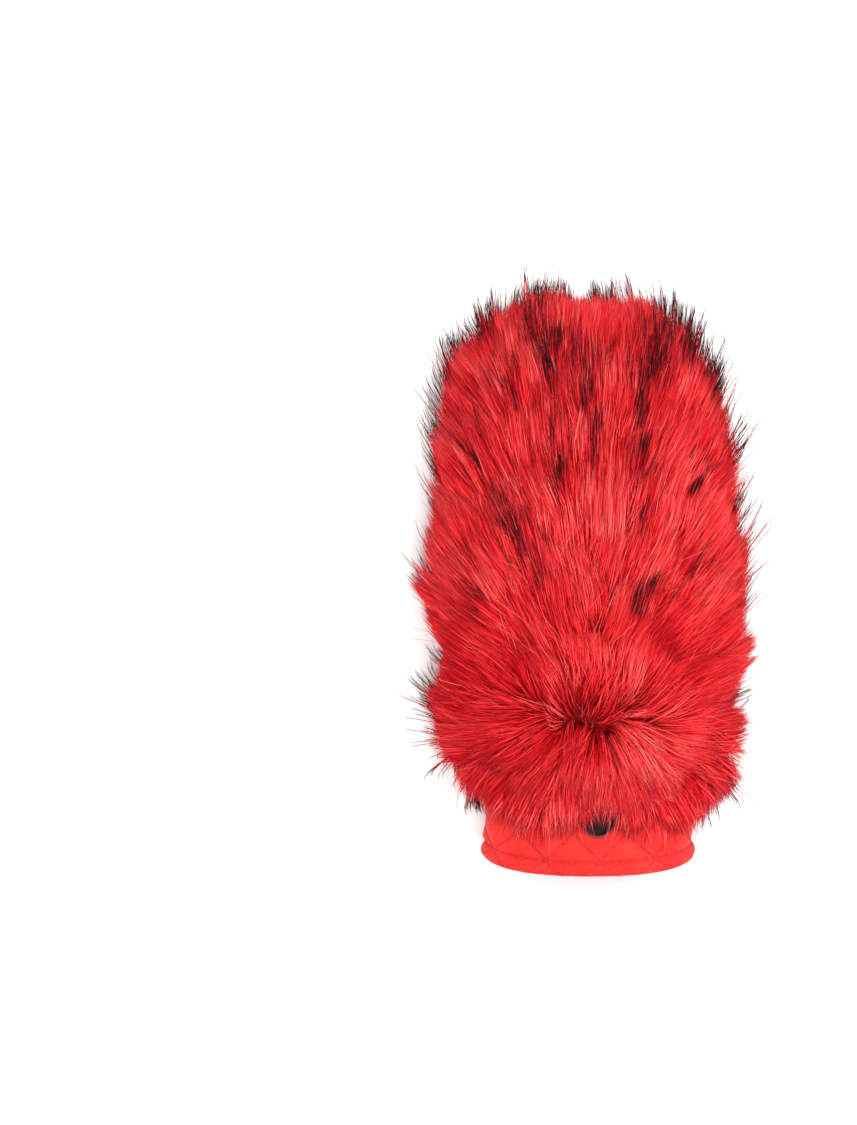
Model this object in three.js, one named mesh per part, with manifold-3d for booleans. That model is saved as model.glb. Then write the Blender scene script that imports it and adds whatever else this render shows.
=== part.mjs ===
// A faux fur mitten that lies on its palm, with the furry back of the hand up.
// Millimetres. X runs across the hand, Y from the cuff to the fingertips, Z up from the palm.
// The palm is flat at z = 0, and the wrist opening faces -Y.

import * as THREE from 'three';
import { mergeVertices } from 'three/addons/utils/BufferGeometryUtils.js';
import Module from 'manifold-3d';

const wasm = await Module();
wasm.setup();

// Main sizes
const gap = 0.3; // between pieces that meet
const wristY = -92; // seam between the hand and the cuff
const tipY = 131; // fingertip end of the padded hand
const tipHeight = 17; // height of that end above the palm
const shoulderY = 80; // from here the hand rounds off to its tip
const handPadding = 4.5; // wall of the padded hand
const thumbPadding = 3.2;
const cuffPadding = 2.6; // wall of the cuff between its quilt lines
const pastEnd = 2; // how far a cutting body runs past what it cuts
const farOut = 200; // past every piece

// The padded hand: middle and half width across, and height of its crown
const handSections = [
  { y: -92, middleX: -0.5, halfWidth: 49.5, crown: 36 },
  { y: -60, middleX: -0.5, halfWidth: 52.5, crown: 40 },
  { y: -20, middleX: 0, halfWidth: 56, crown: 43.5 },
  { y: 20, middleX: 0, halfWidth: 57.5, crown: 44 },
  { y: 52, middleX: -1.5, halfWidth: 55.5, crown: 42 },
  { y: 80, middleX: -3.5, halfWidth: 51, crown: 39 },
  { y: 131, middleX: -7, halfWidth: 46, crown: 33 },
];
const handSides = 32; // facets round the hand
const handRings = 7; // rings from wrist to shoulder
const tipRings = 6; // rings from shoulder to tip
const hollowSides = 20; // the hollow is plainer
const hollowRings = 4;
const crownPower = 2.3; // how square the upper half of a section is
const bellyPower = 2.9; // the same for the lower half
const curveSteps = 72; // points from which a section's curve is drawn
const beltShare = 0.44; // height of the widest level, as a share of the section
const sag = 1.6; // how far the belly would dip below the floor that flattens it
const tipAcross = { power: 2.4, root: 0.45 }; // how the tip rounds off, seen from above
const tipUpright = { power: 3, root: 0.5 }; // and from the side

// The thumb lies beside the palm, tucked under the edge of the hand
const thumbSections = [
  { y: -58, x: -37, height: 14, halfWidth: 15, halfHeight: 9.6 },
  { y: -38, x: -41, height: 10.6, halfWidth: 16.5, halfHeight: 10.2 },
  { y: -18, x: -46, height: 10.5, halfWidth: 16.5, halfHeight: 10.2 },
  { y: 2, x: -50, height: 10.3, halfWidth: 15.5, halfHeight: 10 },
  { y: 16, x: -52.5, height: 9.9, halfWidth: 13.5, halfHeight: 9.4 },
  { y: 25, x: -54, height: 9.6, halfWidth: 9.5, halfHeight: 7.2 },
];
const thumbTip = { y: 29.5, x: -54.5, height: 9.4 };
const thumbRootY = -36; // where the thumb joins the palm
const thumbMouthY = -50; // how far back its hollow opens into the hand
const thumbSides = 16;

// The cuff, a quilted tube whose edge is turned in and stitched
const cuffMiddleX = -0.8;
const cuffHalfWidth = 50.4;
const cuffCrown = 36;
const hemY = -127.5; // hem at the two sides
const hemCrownDrop = 7.5; // how much further the hem reaches over the back of the wrist
const hemBellyDrop = 2;
const hemDepth = 7.5; // from the hem's stitch line to its edge
const hemRoll = 2.2; // how far the turned hem swells past the cuff
const quiltCells = 9; // quilted diamonds round the cuff
const stepsPerCell = 6;
const quiltPuff = 1.2;
const cuffSides = quiltCells * stepsPerCell;
const quiltRows = 8; // rows of facets above the hem's stitch line
const quiltTurn = 1; // facets from the crown to a corner of a diamond
const pillowPower = 0.7;
const liningRings = 2;
const hemLip = 0.85; // where the hem's inner edge lies, as a share of its depth
const hemProfile = [
  { depth: 0.25, swell: 0.7 },
  { depth: 0.6, swell: 1 },
  { depth: 0.9, swell: 0.6 },
  { depth: 1, swell: -0.2 },
];

// The round badge on the back of the cuff
const badge = {
  x: 2.7, y: -107.4, radius: 8.6, rimWidth: 1.4, rimHeight: 2, plateHeight: 1.2, bevel: 0.35,
};
const badgeSides = 20;
const badgeBed = { flat: 11, round: 15 }; // the quilt's puff fades out between these radii

// The fur: a cloth backing over the back, sides and tip, with locks combed away from a swirl
const backing = 2.4;
const seamHeight = 9; // the backing ends here, above the palm
const furFloor = 2.2; // no lock reaches lower than this
const swirl = { x: 4, y: -69, bare: 8 };
const lockSides = 4;
const lockSteps = 12;
const rootDepth = 0.6; // how deep a lock's root sits in the backing
const shortestComb = 0.5; // where the skin faces along the comb, the lock stands up instead
const seamSteps = 200; // steps in which a row looks for the two side seams
const lockStations = [
  { share: 0, halfWidth: 6.5, halfThickness: 2.6 },
  { share: 0.42, halfWidth: 11, halfThickness: 5 },
  { share: 0.8, halfWidth: 8.2, halfThickness: 3.6 },
];
const lockJitter = { length: 0.13, turn: 13, lift: 7 };
const droop = 0.35; // how much the pile's own weight bends it down
const furSeed = 7;
const furRows = [
  { y: -87, locks: 8, length: 32, rootLift: 40, tipLift: -14 },
  { y: -73, locks: 8, length: 34, rootLift: 50, tipLift: 0 },
  { y: -56, locks: 8, length: 36, rootLift: 54, tipLift: 10 },
  { y: -38, locks: 8, length: 37, rootLift: 55, tipLift: 12 },
  { y: -19, locks: 7, length: 38, rootLift: 55, tipLift: 14 },
  { y: 0, locks: 8, length: 38, rootLift: 55, tipLift: 14 },
  { y: 19, locks: 7, length: 39, rootLift: 55, tipLift: 14 },
  { y: 38, locks: 8, length: 39, rootLift: 55, tipLift: 14 },
  { y: 57, locks: 7, length: 38, rootLift: 54, tipLift: 14 },
  { y: 76, locks: 8, length: 37, rootLift: 52, tipLift: 14 },
  { y: 94, locks: 7, length: 35, rootLift: 50, tipLift: 16 },
  { y: 109, locks: 7, length: 31, rootLift: 48, tipLift: 18 },
  { y: 121, locks: 6, length: 31, rootLift: 50, tipLift: 25 },
  { y: 129, locks: 5, length: 26, rootLift: 60, tipLift: 40 },
];

// Colours and finishes
const finishes = {
  fur: { color: 0xd8262c, roughness: 0.85, metalness: 0 },
  quilt: { color: 0xee3b3a, roughness: 0.7, metalness: 0 },
  palm: { color: 0xc92a2e, roughness: 0.75, metalness: 0 },
  gunmetal: { color: 0x3b3436, roughness: 0.35, metalness: 0.9 },
};

// Geometry helpers

// A closed surface through rings of points. Along +Y the rings turn from +Z to +X to -Z.
// A ring of one point is a pole. With joined true the last ring meets the first one.
function loft(rings, { joined = false, turnQuad = () => false } = {}) {
  const sides = Math.max(...rings.map((ring) => ring.length));
  const positions = [];
  const starts = [];
  for (const ring of rings) {
    starts.push(positions.length / 3);
    ring.forEach((point) => positions.push(point.x, point.y, point.z));
  }
  const corner = (ring, side) => starts[ring] + (rings[ring].length === 1 ? 0 : side % sides);
  const faces = [];
  const addFace = (a, b, c) => {
    if (a !== b && b !== c && c !== a) {
      faces.push(a, b, c);
    }
  };
  const bands = joined ? rings.length : rings.length - 1;
  for (let band = 0; band < bands; band += 1) {
    const next = (band + 1) % rings.length;
    for (let side = 0; side < sides; side += 1) {
      const a = corner(band, side);
      const b = corner(band, side + 1);
      const c = corner(next, side + 1);
      const d = corner(next, side);
      if (turnQuad(band, side)) {
        addFace(a, b, d);
        addFace(b, c, d);
      } else {
        addFace(a, b, c);
        addFace(a, c, d);
      }
    }
  }
  const geometry = new THREE.BufferGeometry();
  geometry.setAttribute('position', new THREE.BufferAttribute(new Float32Array(positions), 3));
  geometry.setIndex(new THREE.BufferAttribute(new Uint32Array(faces), 1));
  return geometry;
}

function middleOf(ring) {
  const sum = new THREE.Vector3();
  ring.forEach((point) => sum.add(point));
  return sum.divideScalar(ring.length);
}

function toSolid(geometry) {
  const vertProperties = new Float32Array(geometry.getAttribute('position').array);
  const triVerts = new Uint32Array(geometry.getIndex().array);
  return new wasm.Manifold(new wasm.Mesh({ numProp: 3, vertProperties, triVerts }));
}

function toGeometry(solid) {
  const mesh = solid.getMesh();
  const geometry = new THREE.BufferGeometry();
  geometry.setAttribute('position', new THREE.BufferAttribute(mesh.vertProperties, 3));
  geometry.setIndex(new THREE.BufferAttribute(mesh.triVerts, 1));
  return geometry;
}

function boxSolid(low, high) {
  const geometry = new THREE.BoxGeometry(high.x - low.x, high.y - low.y, high.z - low.z);
  geometry.translate((low.x + high.x) / 2, (low.y + high.y) / 2, (low.z + high.z) / 2);
  geometry.deleteAttribute('normal');
  geometry.deleteAttribute('uv');
  return toSolid(mergeVertices(geometry));
}

// The value of a table's named column at y, on a smooth curve through its rows
function columnAt(table, column, y) {
  const last = table.length - 1;
  const above = table.findIndex((row) => row.y > y);
  const high = above < 0 ? last : Math.max(above, 1);
  const low = high - 1;
  const slope = (index) => {
    const before = table[Math.max(index - 1, 0)];
    const after = table[Math.min(index + 1, last)];
    return (after[column] - before[column]) / (after.y - before.y);
  };
  const span = table[high].y - table[low].y;
  const t = THREE.MathUtils.clamp((y - table[low].y) / span, 0, 1);
  const rise = 3 * t ** 2 - 2 * t ** 3;
  return (
    table[low][column] * (1 - rise)
    + table[high][column] * rise
    + slope(low) * span * (t ** 3 - 2 * t ** 2 + t)
    + slope(high) * span * (t ** 3 - t ** 2)
  );
}

// A point of a rounded section in the XZ plane, whose lower side is pressed flat at its floor
function sectionPoint(section, angle) {
  const { middleX, halfWidth, low, high, y, floor } = section;
  const belt = low + beltShare * (high - low);
  const across = Math.cos(angle);
  const upright = Math.sin(angle);
  const power = 2 / (upright > 0 ? crownPower : bellyPower);
  const reach = upright > 0 ? high - belt : belt - low;
  const x = middleX + halfWidth * Math.sign(across) * Math.abs(across) ** power;
  const z = belt + reach * Math.sign(upright) * Math.abs(upright) ** power;
  return new THREE.Vector3(x, y, Math.max(z, floor));
}

// The section as a closed curve, which starts at the crown and turns towards +X
function sectionCurve(section) {
  const points = Array.from({ length: curveSteps }, (_, step) => (
    sectionPoint(section, Math.PI / 2 - (2 * Math.PI * step) / curveSteps)
  ));
  return new THREE.CatmullRomCurve3(points, true);
}

// Evenly spaced points round a section
function evenRing(section, sides) {
  const points = sectionCurve(section).getSpacedPoints(sides).slice(0, sides);
  points.forEach((point) => point.setZ(Math.max(point.z, section.floor)));
  return points;
}

// Points round an oval whose axes u and v span it
function ovalRing(middle, u, v, sides) {
  return Array.from({ length: sides }, (_, side) => {
    const angle = (2 * Math.PI * side) / sides;
    return middle.clone().addScaledVector(v, Math.cos(angle)).addScaledVector(u, Math.sin(angle));
  });
}

// The padded hand

// Its section at y, swollen by offset on every side
function handSection(y, offset) {
  const end = tipY + offset;
  const along = THREE.MathUtils.clamp((y - shoulderY) / (end - shoulderY), 0, 1);
  const across = (1 - along ** tipAcross.power) ** tipAcross.root;
  const upright = (1 - along ** tipUpright.power) ** tipUpright.root;
  const crown = columnAt(handSections, 'crown', y) + offset;
  return {
    y,
    middleX: columnAt(handSections, 'middleX', y),
    halfWidth: (columnAt(handSections, 'halfWidth', y) + offset) * across,
    high: tipHeight + (crown - tipHeight) * upright,
    low: tipHeight - (tipHeight + sag + offset) * upright,
    floor: -offset,
  };
}

// A closed body of the hand's form, swollen by offset, from startY to the fingertips
function handBody(startY, offset, sides = handSides, bodyRings = handRings) {
  const ringAt = (y) => evenRing(handSection(y, offset), sides);
  const rings = [];
  for (let ring = 0; ring <= bodyRings; ring += 1) {
    rings.push(ringAt(THREE.MathUtils.lerp(startY, shoulderY, ring / bodyRings)));
  }
  const reach = tipY + offset - shoulderY;
  for (let ring = 1; ring < tipRings; ring += 1) {
    rings.push(ringAt(shoulderY + reach * Math.sin((ring / tipRings) * (Math.PI / 2))));
  }
  const pole = new THREE.Vector3(columnAt(handSections, 'middleX', tipY), tipY + offset, tipHeight);
  return toSolid(loft([[middleOf(rings[0])], ...rings, [pole]]));
}

// The thumb's form swollen by offset, from startY to its tip
function thumbBody(startY, offset) {
  const valueAt = (column, y) => columnAt(thumbSections, column, y);
  const ringAt = (y) => {
    const middle = new THREE.Vector3(valueAt('x', y), y, valueAt('height', y));
    const across = new THREE.Vector3(valueAt('halfWidth', y) + offset, 0, 0);
    const upright = new THREE.Vector3(0, 0, valueAt('halfHeight', y) + offset);
    return ovalRing(middle, across, upright, thumbSides);
  };
  const later = thumbSections.filter((section) => section.y > startY + pastEnd);
  const rings = [startY, ...later.map((section) => section.y)].map(ringAt);
  const tip = new THREE.Vector3(thumbTip.x, thumbTip.y + offset, thumbTip.height);
  return toSolid(loft([[middleOf(rings[0])], ...rings, [tip]]));
}

// The palm folds round the free thumb, and opens into it at the thumb's root
function makeHandShell() {
  const outside = handBody(wristY, 0).subtract(thumbBody(thumbRootY - gap, 2 * gap));
  const thumbFold = thumbBody(thumbRootY - gap - handPadding, 2 * gap + handPadding);
  const hollow = handBody(wristY - pastEnd, -handPadding, hollowSides, hollowRings);
  const inside = hollow.subtract(thumbFold);
  return outside.subtract(inside).subtract(thumbHollow());
}

function thumbHollow() {
  return thumbBody(thumbMouthY, -thumbPadding);
}

function makeThumb() {
  const palm = handBody(wristY, gap).subtract(thumbBody(thumbRootY, gap));
  return thumbBody(thumbSections[0].y, 0).subtract(thumbHollow()).subtract(palm);
}

// The cuff

// The cuff's section at y, swollen by swell and pressed flat at its floor
function cuffSection(y, swell, floor) {
  return {
    y,
    middleX: cuffMiddleX,
    halfWidth: cuffHalfWidth + swell,
    high: cuffCrown + swell,
    low: -sag - swell,
    floor,
  };
}

// A ring of the cuff with its own y at each point, because the hem's edge is curved.
// Share runs from 0 at the wrist seam to 1 at the hem's stitch line; depth is past that line.
function cuffRing({ share = 1, depth = 0, swell = 0, floor = 0, puffAt = () => 0 }) {
  const ring = evenRing(cuffSection(0, swell, floor), cuffSides);
  const swollen = evenRing(cuffSection(0, swell + quiltPuff, floor), cuffSides);
  return ring.map((point, side) => {
    const upright = (2 * point.z) / cuffCrown - 1;
    const drop = (upright > 0 ? hemCrownDrop : hemBellyDrop) * upright ** 2;
    const stitchY = hemY - drop + hemDepth;
    const y = THREE.MathUtils.lerp(wristY - gap, stitchY, share) - depth;
    return point.clone().lerp(swollen[side], puffAt(side, point.x, y)).setY(y);
  });
}

// How far the quilt puffs out, from 0 on a stitched line to 1 in a diamond's middle
function quiltPuffAt(row) {
  return (side, x, y) => {
    const fromStitchLine = row - quiltRows;
    const phase = Math.PI / stepsPerCell;
    const one = Math.sin(phase * (side - quiltTurn + fromStitchLine));
    const other = Math.sin(phase * (side - quiltTurn - fromStitchLine));
    const fromBadge = Math.hypot(x - badge.x, y - badge.y);
    const isBack = side < cuffSides / 4 || side > (3 * cuffSides) / 4;
    const bed = isBack ? THREE.MathUtils.smoothstep(fromBadge, badgeBed.flat, badgeBed.round) : 1;
    return Math.abs(one * other) ** pillowPower * bed;
  };
}

function cuffOuterRings() {
  const rings = [];
  for (let row = 0; row <= quiltRows; row += 1) {
    rings.push(cuffRing({ share: row / quiltRows, puffAt: quiltPuffAt(row) }));
  }
  const hem = hemProfile.map(({ depth, swell }) => (
    cuffRing({ depth: depth * hemDepth, swell: swell * hemRoll })
  ));
  return [...rings, ...hem];
}

function makeCuff() {
  const lining = { swell: -cuffPadding, floor: cuffPadding };
  const inner = [cuffRing({ depth: hemDepth * hemLip, ...lining })];
  for (let ring = 0; ring < liningRings; ring += 1) {
    inner.push(cuffRing({ share: 1 - ring / (liningRings - 1), ...lining }));
  }
  const rings = [...cuffOuterRings(), ...inner].reverse();
  // The facets' diagonals follow the quilt's lines
  const turnQuad = (band, side) => {
    const row = rings.length - 1 - band;
    return row <= quiltRows && (side - quiltTurn + row - quiltRows) % stepsPerCell !== 0;
  };
  return toSolid(loft(rings, { joined: true, turnQuad }));
}

// The cuff's form with its hollow filled and swollen by offset, as room for it
function cuffRoom(offset) {
  const sleeve = { swell: quiltPuff + offset, floor: -offset };
  const hem = { swell: hemRoll + offset, floor: -offset };
  const atHem = cuffRing({ depth: hemDepth + pastEnd, ...hem });
  const atStitches = cuffRing({ ...sleeve });
  const atWrist = cuffRing({ share: 0, depth: -gap, ...sleeve });
  return toSolid(loft([[middleOf(atHem)], atHem, atStitches, atWrist, [middleOf(atWrist)]]));
}

// The badge: a shallow dish whose rim stands above its plate
function makeBadge() {
  const { radius, rimWidth, rimHeight, plateHeight, bevel } = badge;
  const profile = [
    [0, 0],
    [radius - bevel, 0],
    [radius, bevel],
    [radius, rimHeight - bevel],
    [radius - bevel, rimHeight],
    [radius - rimWidth, rimHeight],
    [radius - rimWidth - bevel, plateHeight],
    [0, plateHeight],
  ];
  const geometry = new THREE.LatheGeometry(profile.map(([r, h]) => new THREE.Vector2(r, h)), badgeSides);
  return geometry.rotateX(Math.PI / 2);
}

// The fur

function spread(amount) {
  return amount * (2 * THREE.MathUtils.seededRandom() - 1);
}

// The direction in which the pile is combed at a root, along the skin
function combAt(root, normal) {
  const comb = new THREE.Vector3(root.x - swirl.x, root.y - swirl.y, 0).normalize();
  comb.z = -droop;
  comb.addScaledVector(normal, -comb.dot(normal));
  comb.divideScalar(Math.max(comb.length(), shortestComb));
  return comb.applyAxisAngle(normal, THREE.MathUtils.degToRad(spread(lockJitter.turn)));
}

// One tapered lock, which rises from its root and lies over along the comb
function lockBody(root, normal, row) {
  const comb = combAt(root, normal);
  const length = row.length * (1 + spread(lockJitter.length));
  const lift = spread(lockJitter.lift);
  const position = root.clone().addScaledVector(normal, -rootDepth);
  const path = [position.clone()];
  for (let step = 0; step < lockSteps; step += 1) {
    const along = (step + 0.5) / lockSteps;
    const angle = THREE.MathUtils.degToRad(THREE.MathUtils.lerp(row.rootLift, row.tipLift, along) + lift);
    const direction = comb.clone().multiplyScalar(Math.cos(angle)).addScaledVector(normal, Math.sin(angle));
    direction.z -= droop * along;
    position.addScaledVector(direction.normalize(), length / lockSteps);
    path.push(position.clone());
  }
  const curve = new THREE.CatmullRomCurve3(path);
  const across = new THREE.Vector3().crossVectors(comb, normal).normalize();
  const rings = lockStations.map(({ share, halfWidth, halfThickness }) => {
    const tangent = curve.getTangentAt(share);
    const u = across.clone().multiplyScalar(halfWidth);
    const v = new THREE.Vector3().crossVectors(across, tangent).setLength(halfThickness);
    return ovalRing(curve.getPointAt(share), u, v, lockSides);
  });
  return toSolid(loft([[middleOf(rings[0])], ...rings, [curve.getPointAt(1)]]));
}

// How far round a section, from its crown in one direction, the side seam lies
function seamShare(curve, direction) {
  let step = 0;
  let height = Infinity;
  while (height > seamHeight + backing) {
    step += 1;
    height = curve.getPointAt(((seamSteps + direction * step) % seamSteps) / seamSteps).z;
  }
  return (direction * step) / seamSteps;
}

// The locks of one row across the back, evenly spaced between the two side seams.
// Every second row is shifted by half a lock.
function lockRow(row, index) {
  const offset = gap + backing / 2;
  const curve = sectionCurve(handSection(row.y, offset));
  const before = sectionCurve(handSection(row.y - 1, offset));
  const right = seamShare(curve, 1);
  const left = seamShare(curve, -1);
  const shift = index % 2 === 0 ? 0.25 : 0.75;
  const bodies = [];
  for (let lock = 0; lock < row.locks; lock += 1) {
    const across = (lock + shift) / row.locks;
    const share = (THREE.MathUtils.lerp(left, right, across) + 1) % 1;
    const root = curve.getPointAt(share);
    const along = new THREE.Vector3().subVectors(root, before.getPointAt(share));
    const normal = curve.getTangentAt(share).cross(along).normalize();
    if (Math.hypot(root.x - swirl.x, root.y - swirl.y) > swirl.bare) {
      bodies.push(lockBody(root, normal, row));
    }
  }
  return bodies;
}

// The body that is left of a solid once crumbs that were cut loose and closed pockets are gone
function mainBody(solid) {
  return solid.decompose().reduce((most, body) => (body.volume() > most.volume() ? body : most));
}

// All space under a level
function spaceUnder(height) {
  const corner = new THREE.Vector3(-farOut, -farOut, -farOut);
  return boxSolid(corner, new THREE.Vector3(farOut, farOut, height));
}

function badgeRoom() {
  const { x, y, radius, rimHeight } = badge;
  const reach = radius + gap;
  const top = cuffCrown + gap + rimHeight + 2 * gap;
  return boxSolid(new THREE.Vector3(x - reach, y - reach, 0), new THREE.Vector3(x + reach, y + reach, top));
}

function makeFurPelt() {
  const cloth = handBody(wristY, gap + backing).subtract(spaceUnder(seamHeight));
  const locks = furRows.flatMap(lockRow);
  const rooms = [
    handBody(wristY - pastEnd, gap),
    thumbBody(thumbSections[0].y, 2 * gap),
    cuffRoom(2 * gap),
    badgeRoom(),
    spaceUnder(furFloor),
  ];
  return mainBody(wasm.Manifold.union([cloth, ...locks]).subtract(wasm.Manifold.union(rooms)));
}

// The mitten

function makeMesh(name, geometry, finish) {
  const mesh = new THREE.Mesh(geometry, new THREE.MeshStandardMaterial(finish));
  mesh.name = name;
  return mesh;
}

THREE.MathUtils.seededRandom(furSeed);

const mitten = new THREE.Group();
mitten.add(makeMesh('hand_shell', toGeometry(makeHandShell()), finishes.palm));
mitten.add(makeMesh('thumb', toGeometry(makeThumb()), finishes.palm));
mitten.add(makeMesh('fur_pelt', toGeometry(makeFurPelt()), finishes.fur));
mitten.add(makeMesh('cuff', toGeometry(makeCuff()), finishes.quilt));
const badgeMesh = makeMesh('badge', makeBadge(), finishes.gunmetal);
badgeMesh.position.set(badge.x, badge.y, cuffCrown + gap);
mitten.add(badgeMesh);

export default mitten;
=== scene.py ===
# A red faux fur mitten that lies on its palm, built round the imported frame.
# Metres: X runs across the hand, Y from the cuff to the fingertips, Z up from the floor.

import math

import bmesh
import bpy
import numpy as np
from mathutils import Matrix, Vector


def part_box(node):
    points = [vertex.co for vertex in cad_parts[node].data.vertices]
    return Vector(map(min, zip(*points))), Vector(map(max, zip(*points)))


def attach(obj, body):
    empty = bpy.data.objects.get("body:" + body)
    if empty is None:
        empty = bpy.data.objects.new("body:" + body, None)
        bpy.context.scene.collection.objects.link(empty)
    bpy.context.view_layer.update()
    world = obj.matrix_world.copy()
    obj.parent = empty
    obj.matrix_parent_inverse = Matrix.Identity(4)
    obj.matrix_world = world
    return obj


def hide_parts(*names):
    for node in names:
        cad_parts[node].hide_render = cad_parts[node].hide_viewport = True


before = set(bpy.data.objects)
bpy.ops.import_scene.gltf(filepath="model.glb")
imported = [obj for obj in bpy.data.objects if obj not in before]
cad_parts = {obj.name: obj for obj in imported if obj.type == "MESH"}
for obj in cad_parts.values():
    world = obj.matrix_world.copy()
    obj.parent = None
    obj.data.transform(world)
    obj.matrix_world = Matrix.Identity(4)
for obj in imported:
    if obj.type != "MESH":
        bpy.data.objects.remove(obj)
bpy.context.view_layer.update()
scene = bpy.context.scene
print("frame loaded:", ", ".join(sorted(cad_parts)))


# Camera, floor and light

view = {
    "x": -0.0805,  # the camera looks straight down on the middle of the picture
    "y": 0.0188,
    "height": 1.2,
    "pictureHeight": 0.5558,  # what the picture's long side spans
    "spannedAt": 0.030,  # at this height above the floor
    "sensor": 36,
}

floor = {"side": 6, "level": -0.0003, "color": (0.93, 0.93, 0.93), "roughness": 0.9}

lights = [
    {"name": "keyLight", "place": (0.70, 0.60, 1.15), "side": 0.8, "power": 20},
    {"name": "fillLight", "place": (-0.85, 0.35, 1.1), "side": 0.9, "power": 8},
    {"name": "lowLight", "place": (0.1, -0.95, 1.0), "side": 0.8, "power": 8},
]
daylight = {"color": (1, 1, 1), "strength": 0.9}


def addCamera():
    data = bpy.data.cameras.new("camera")
    data.sensor_width = view["sensor"]
    distance = view["height"] - view["spannedAt"]
    data.lens = view["sensor"] * distance / view["pictureHeight"]
    camera = bpy.data.objects.new("camera", data)
    camera.location = (view["x"], view["y"], view["height"])
    scene.collection.objects.link(camera)
    scene.camera = camera


def addLights():
    for light in lights:
        data = bpy.data.lights.new(light["name"], "AREA")
        data.size = light["side"]
        data.energy = light["power"]
        made = bpy.data.objects.new(light["name"], data)
        made.location = light["place"]
        made.rotation_mode = "QUATERNION"
        made.rotation_quaternion = made.location.to_track_quat("Z", "Y")
        scene.collection.objects.link(made)
    world = bpy.data.worlds.new("daylight")
    world.use_nodes = True
    background = world.node_tree.nodes["Background"]
    background.inputs["Color"].default_value = (*daylight["color"], 1)
    background.inputs["Strength"].default_value = daylight["strength"]
    scene.world = world
    scene.view_settings.view_transform = "Standard"


# Helpers for meshes and nodes

def addMesh(name, points, faces, smooth=True):
    mesh = bpy.data.meshes.new(name)
    mesh.from_pydata(np.asarray(points).tolist(), [], faces)
    if smooth:
        mesh.shade_smooth()
    made = bpy.data.objects.new(name, mesh)
    scene.collection.objects.link(made)
    return made


def storeValues(mesh, name, values):
    values = np.asarray(values, np.float32)
    isVector = values.ndim == 2
    layer = mesh.attributes.new(name, "FLOAT_VECTOR" if isVector else "FLOAT", "POINT")
    layer.data.foreach_set("vector" if isVector else "value", values.ravel())


def readValues(mesh, name):
    layer = mesh.attributes[name]
    isVector = layer.data_type == "FLOAT_VECTOR"
    values = np.zeros(len(mesh.vertices) * (3 if isVector else 1), np.float32)
    layer.data.foreach_get("vector" if isVector else "value", values)
    return values.reshape(-1, 3) if isVector else values


def gridFaces(rows, columns, closed=False):
    # quads between rows of points; closed joins each row's last point to its first
    faces = []
    for row in range(rows - 1):
        for column in range(columns if closed else columns - 1):
            after = (column + 1) % columns
            here = row * columns
            above = here + columns
            faces.append((here + column, above + column, above + after, here + after))
    return faces


def spindleFaces(ringCount, sides):
    # a closed spindle: a point at either end, and rings of corners between them
    faces = [(0, 1 + (side + 1) % sides, 1 + side) for side in range(sides)]
    for ring in range(ringCount - 3):
        start = 1 + ring * sides
        for side in range(sides):
            after = (side + 1) % sides
            faces.append((start + side, start + after, start + sides + after, start + sides + side))
    last = 1 + (ringCount - 2) * sides
    start = last - sides
    faces += [(start + side, start + (side + 1) % sides, last) for side in range(sides)]
    return faces


def setInputs(tree, node, inputs):
    # a socket is linked, and anything else becomes the input's own value
    for key, value in inputs.items():
        if isinstance(value, bpy.types.NodeSocket):
            tree.links.new(value, node.inputs[key])
        else:
            node.inputs[key].default_value = value


def addNode(tree, kind, inputs=None, **settings):
    made = tree.nodes.new(kind)
    for name, value in settings.items():
        setattr(made, name, value)
    setInputs(tree, made, inputs or {})
    return made


def maths(tree, operation, *values, clamp=False):
    inputs = dict(enumerate(values))
    return addNode(tree, "ShaderNodeMath", inputs, operation=operation, use_clamp=clamp).outputs[0]


def total(tree, *values):
    result = values[0]
    for value in values[1:]:
        result = maths(tree, "ADD", result, value)
    return result


def product(tree, *values, clamp=False):
    result = values[0]
    for value in values[1:]:
        result = maths(tree, "MULTIPLY", result, value, clamp=clamp)
    return result


def vectorMaths(tree, operation, *values):
    made = addNode(tree, "ShaderNodeVectorMath", dict(enumerate(values)), operation=operation)
    return made.outputs["Value" if operation in ("LENGTH", "DISTANCE", "DOT_PRODUCT") else "Vector"]


def vectorTotal(tree, *values):
    result = values[0]
    for value in values[1:]:
        result = vectorMaths(tree, "ADD", result, value)
    return result


def scaled(tree, vector, factor):
    return addNode(tree, "ShaderNodeVectorMath", {0: vector, "Scale": factor}, operation="SCALE").outputs[0]


def turnedRound(tree, vector, axis, angle):
    inputs = {"Vector": vector, "Axis": axis, "Angle": angle}
    return addNode(tree, "ShaderNodeVectorRotate", inputs, rotation_type="AXIS_ANGLE").outputs[0]


def separated(tree, vector):
    return addNode(tree, "ShaderNodeSeparateXYZ", {0: vector}).outputs


def combined(tree, x=0.0, y=0.0, z=0.0):
    return addNode(tree, "ShaderNodeCombineXYZ", {"X": x, "Y": y, "Z": z}).outputs[0]


def noiseAt(tree, place, scale, detail):
    return addNode(tree, "ShaderNodeTexNoise", {"Vector": place, "Scale": scale, "Detail": detail}).outputs


def mapped(tree, value, low, high, toLow=0.0, toHigh=1.0, kind="SMOOTHSTEP"):
    inputs = {0: value, 1: low, 2: high, 3: toLow, 4: toHigh}
    return addNode(tree, "ShaderNodeMapRange", inputs, interpolation_type=kind).outputs[0]


def position(tree):
    return tree.nodes.new("GeometryNodeInputPosition").outputs[0]


def shapeOf(tree, thing):
    return addNode(tree, "GeometryNodeObjectInfo", {"Object": thing}).outputs["Geometry"]


def named(tree, name, kind="FLOAT"):
    return addNode(tree, "GeometryNodeInputNamedAttribute", {"Name": name}, data_type=kind).outputs[0]


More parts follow.
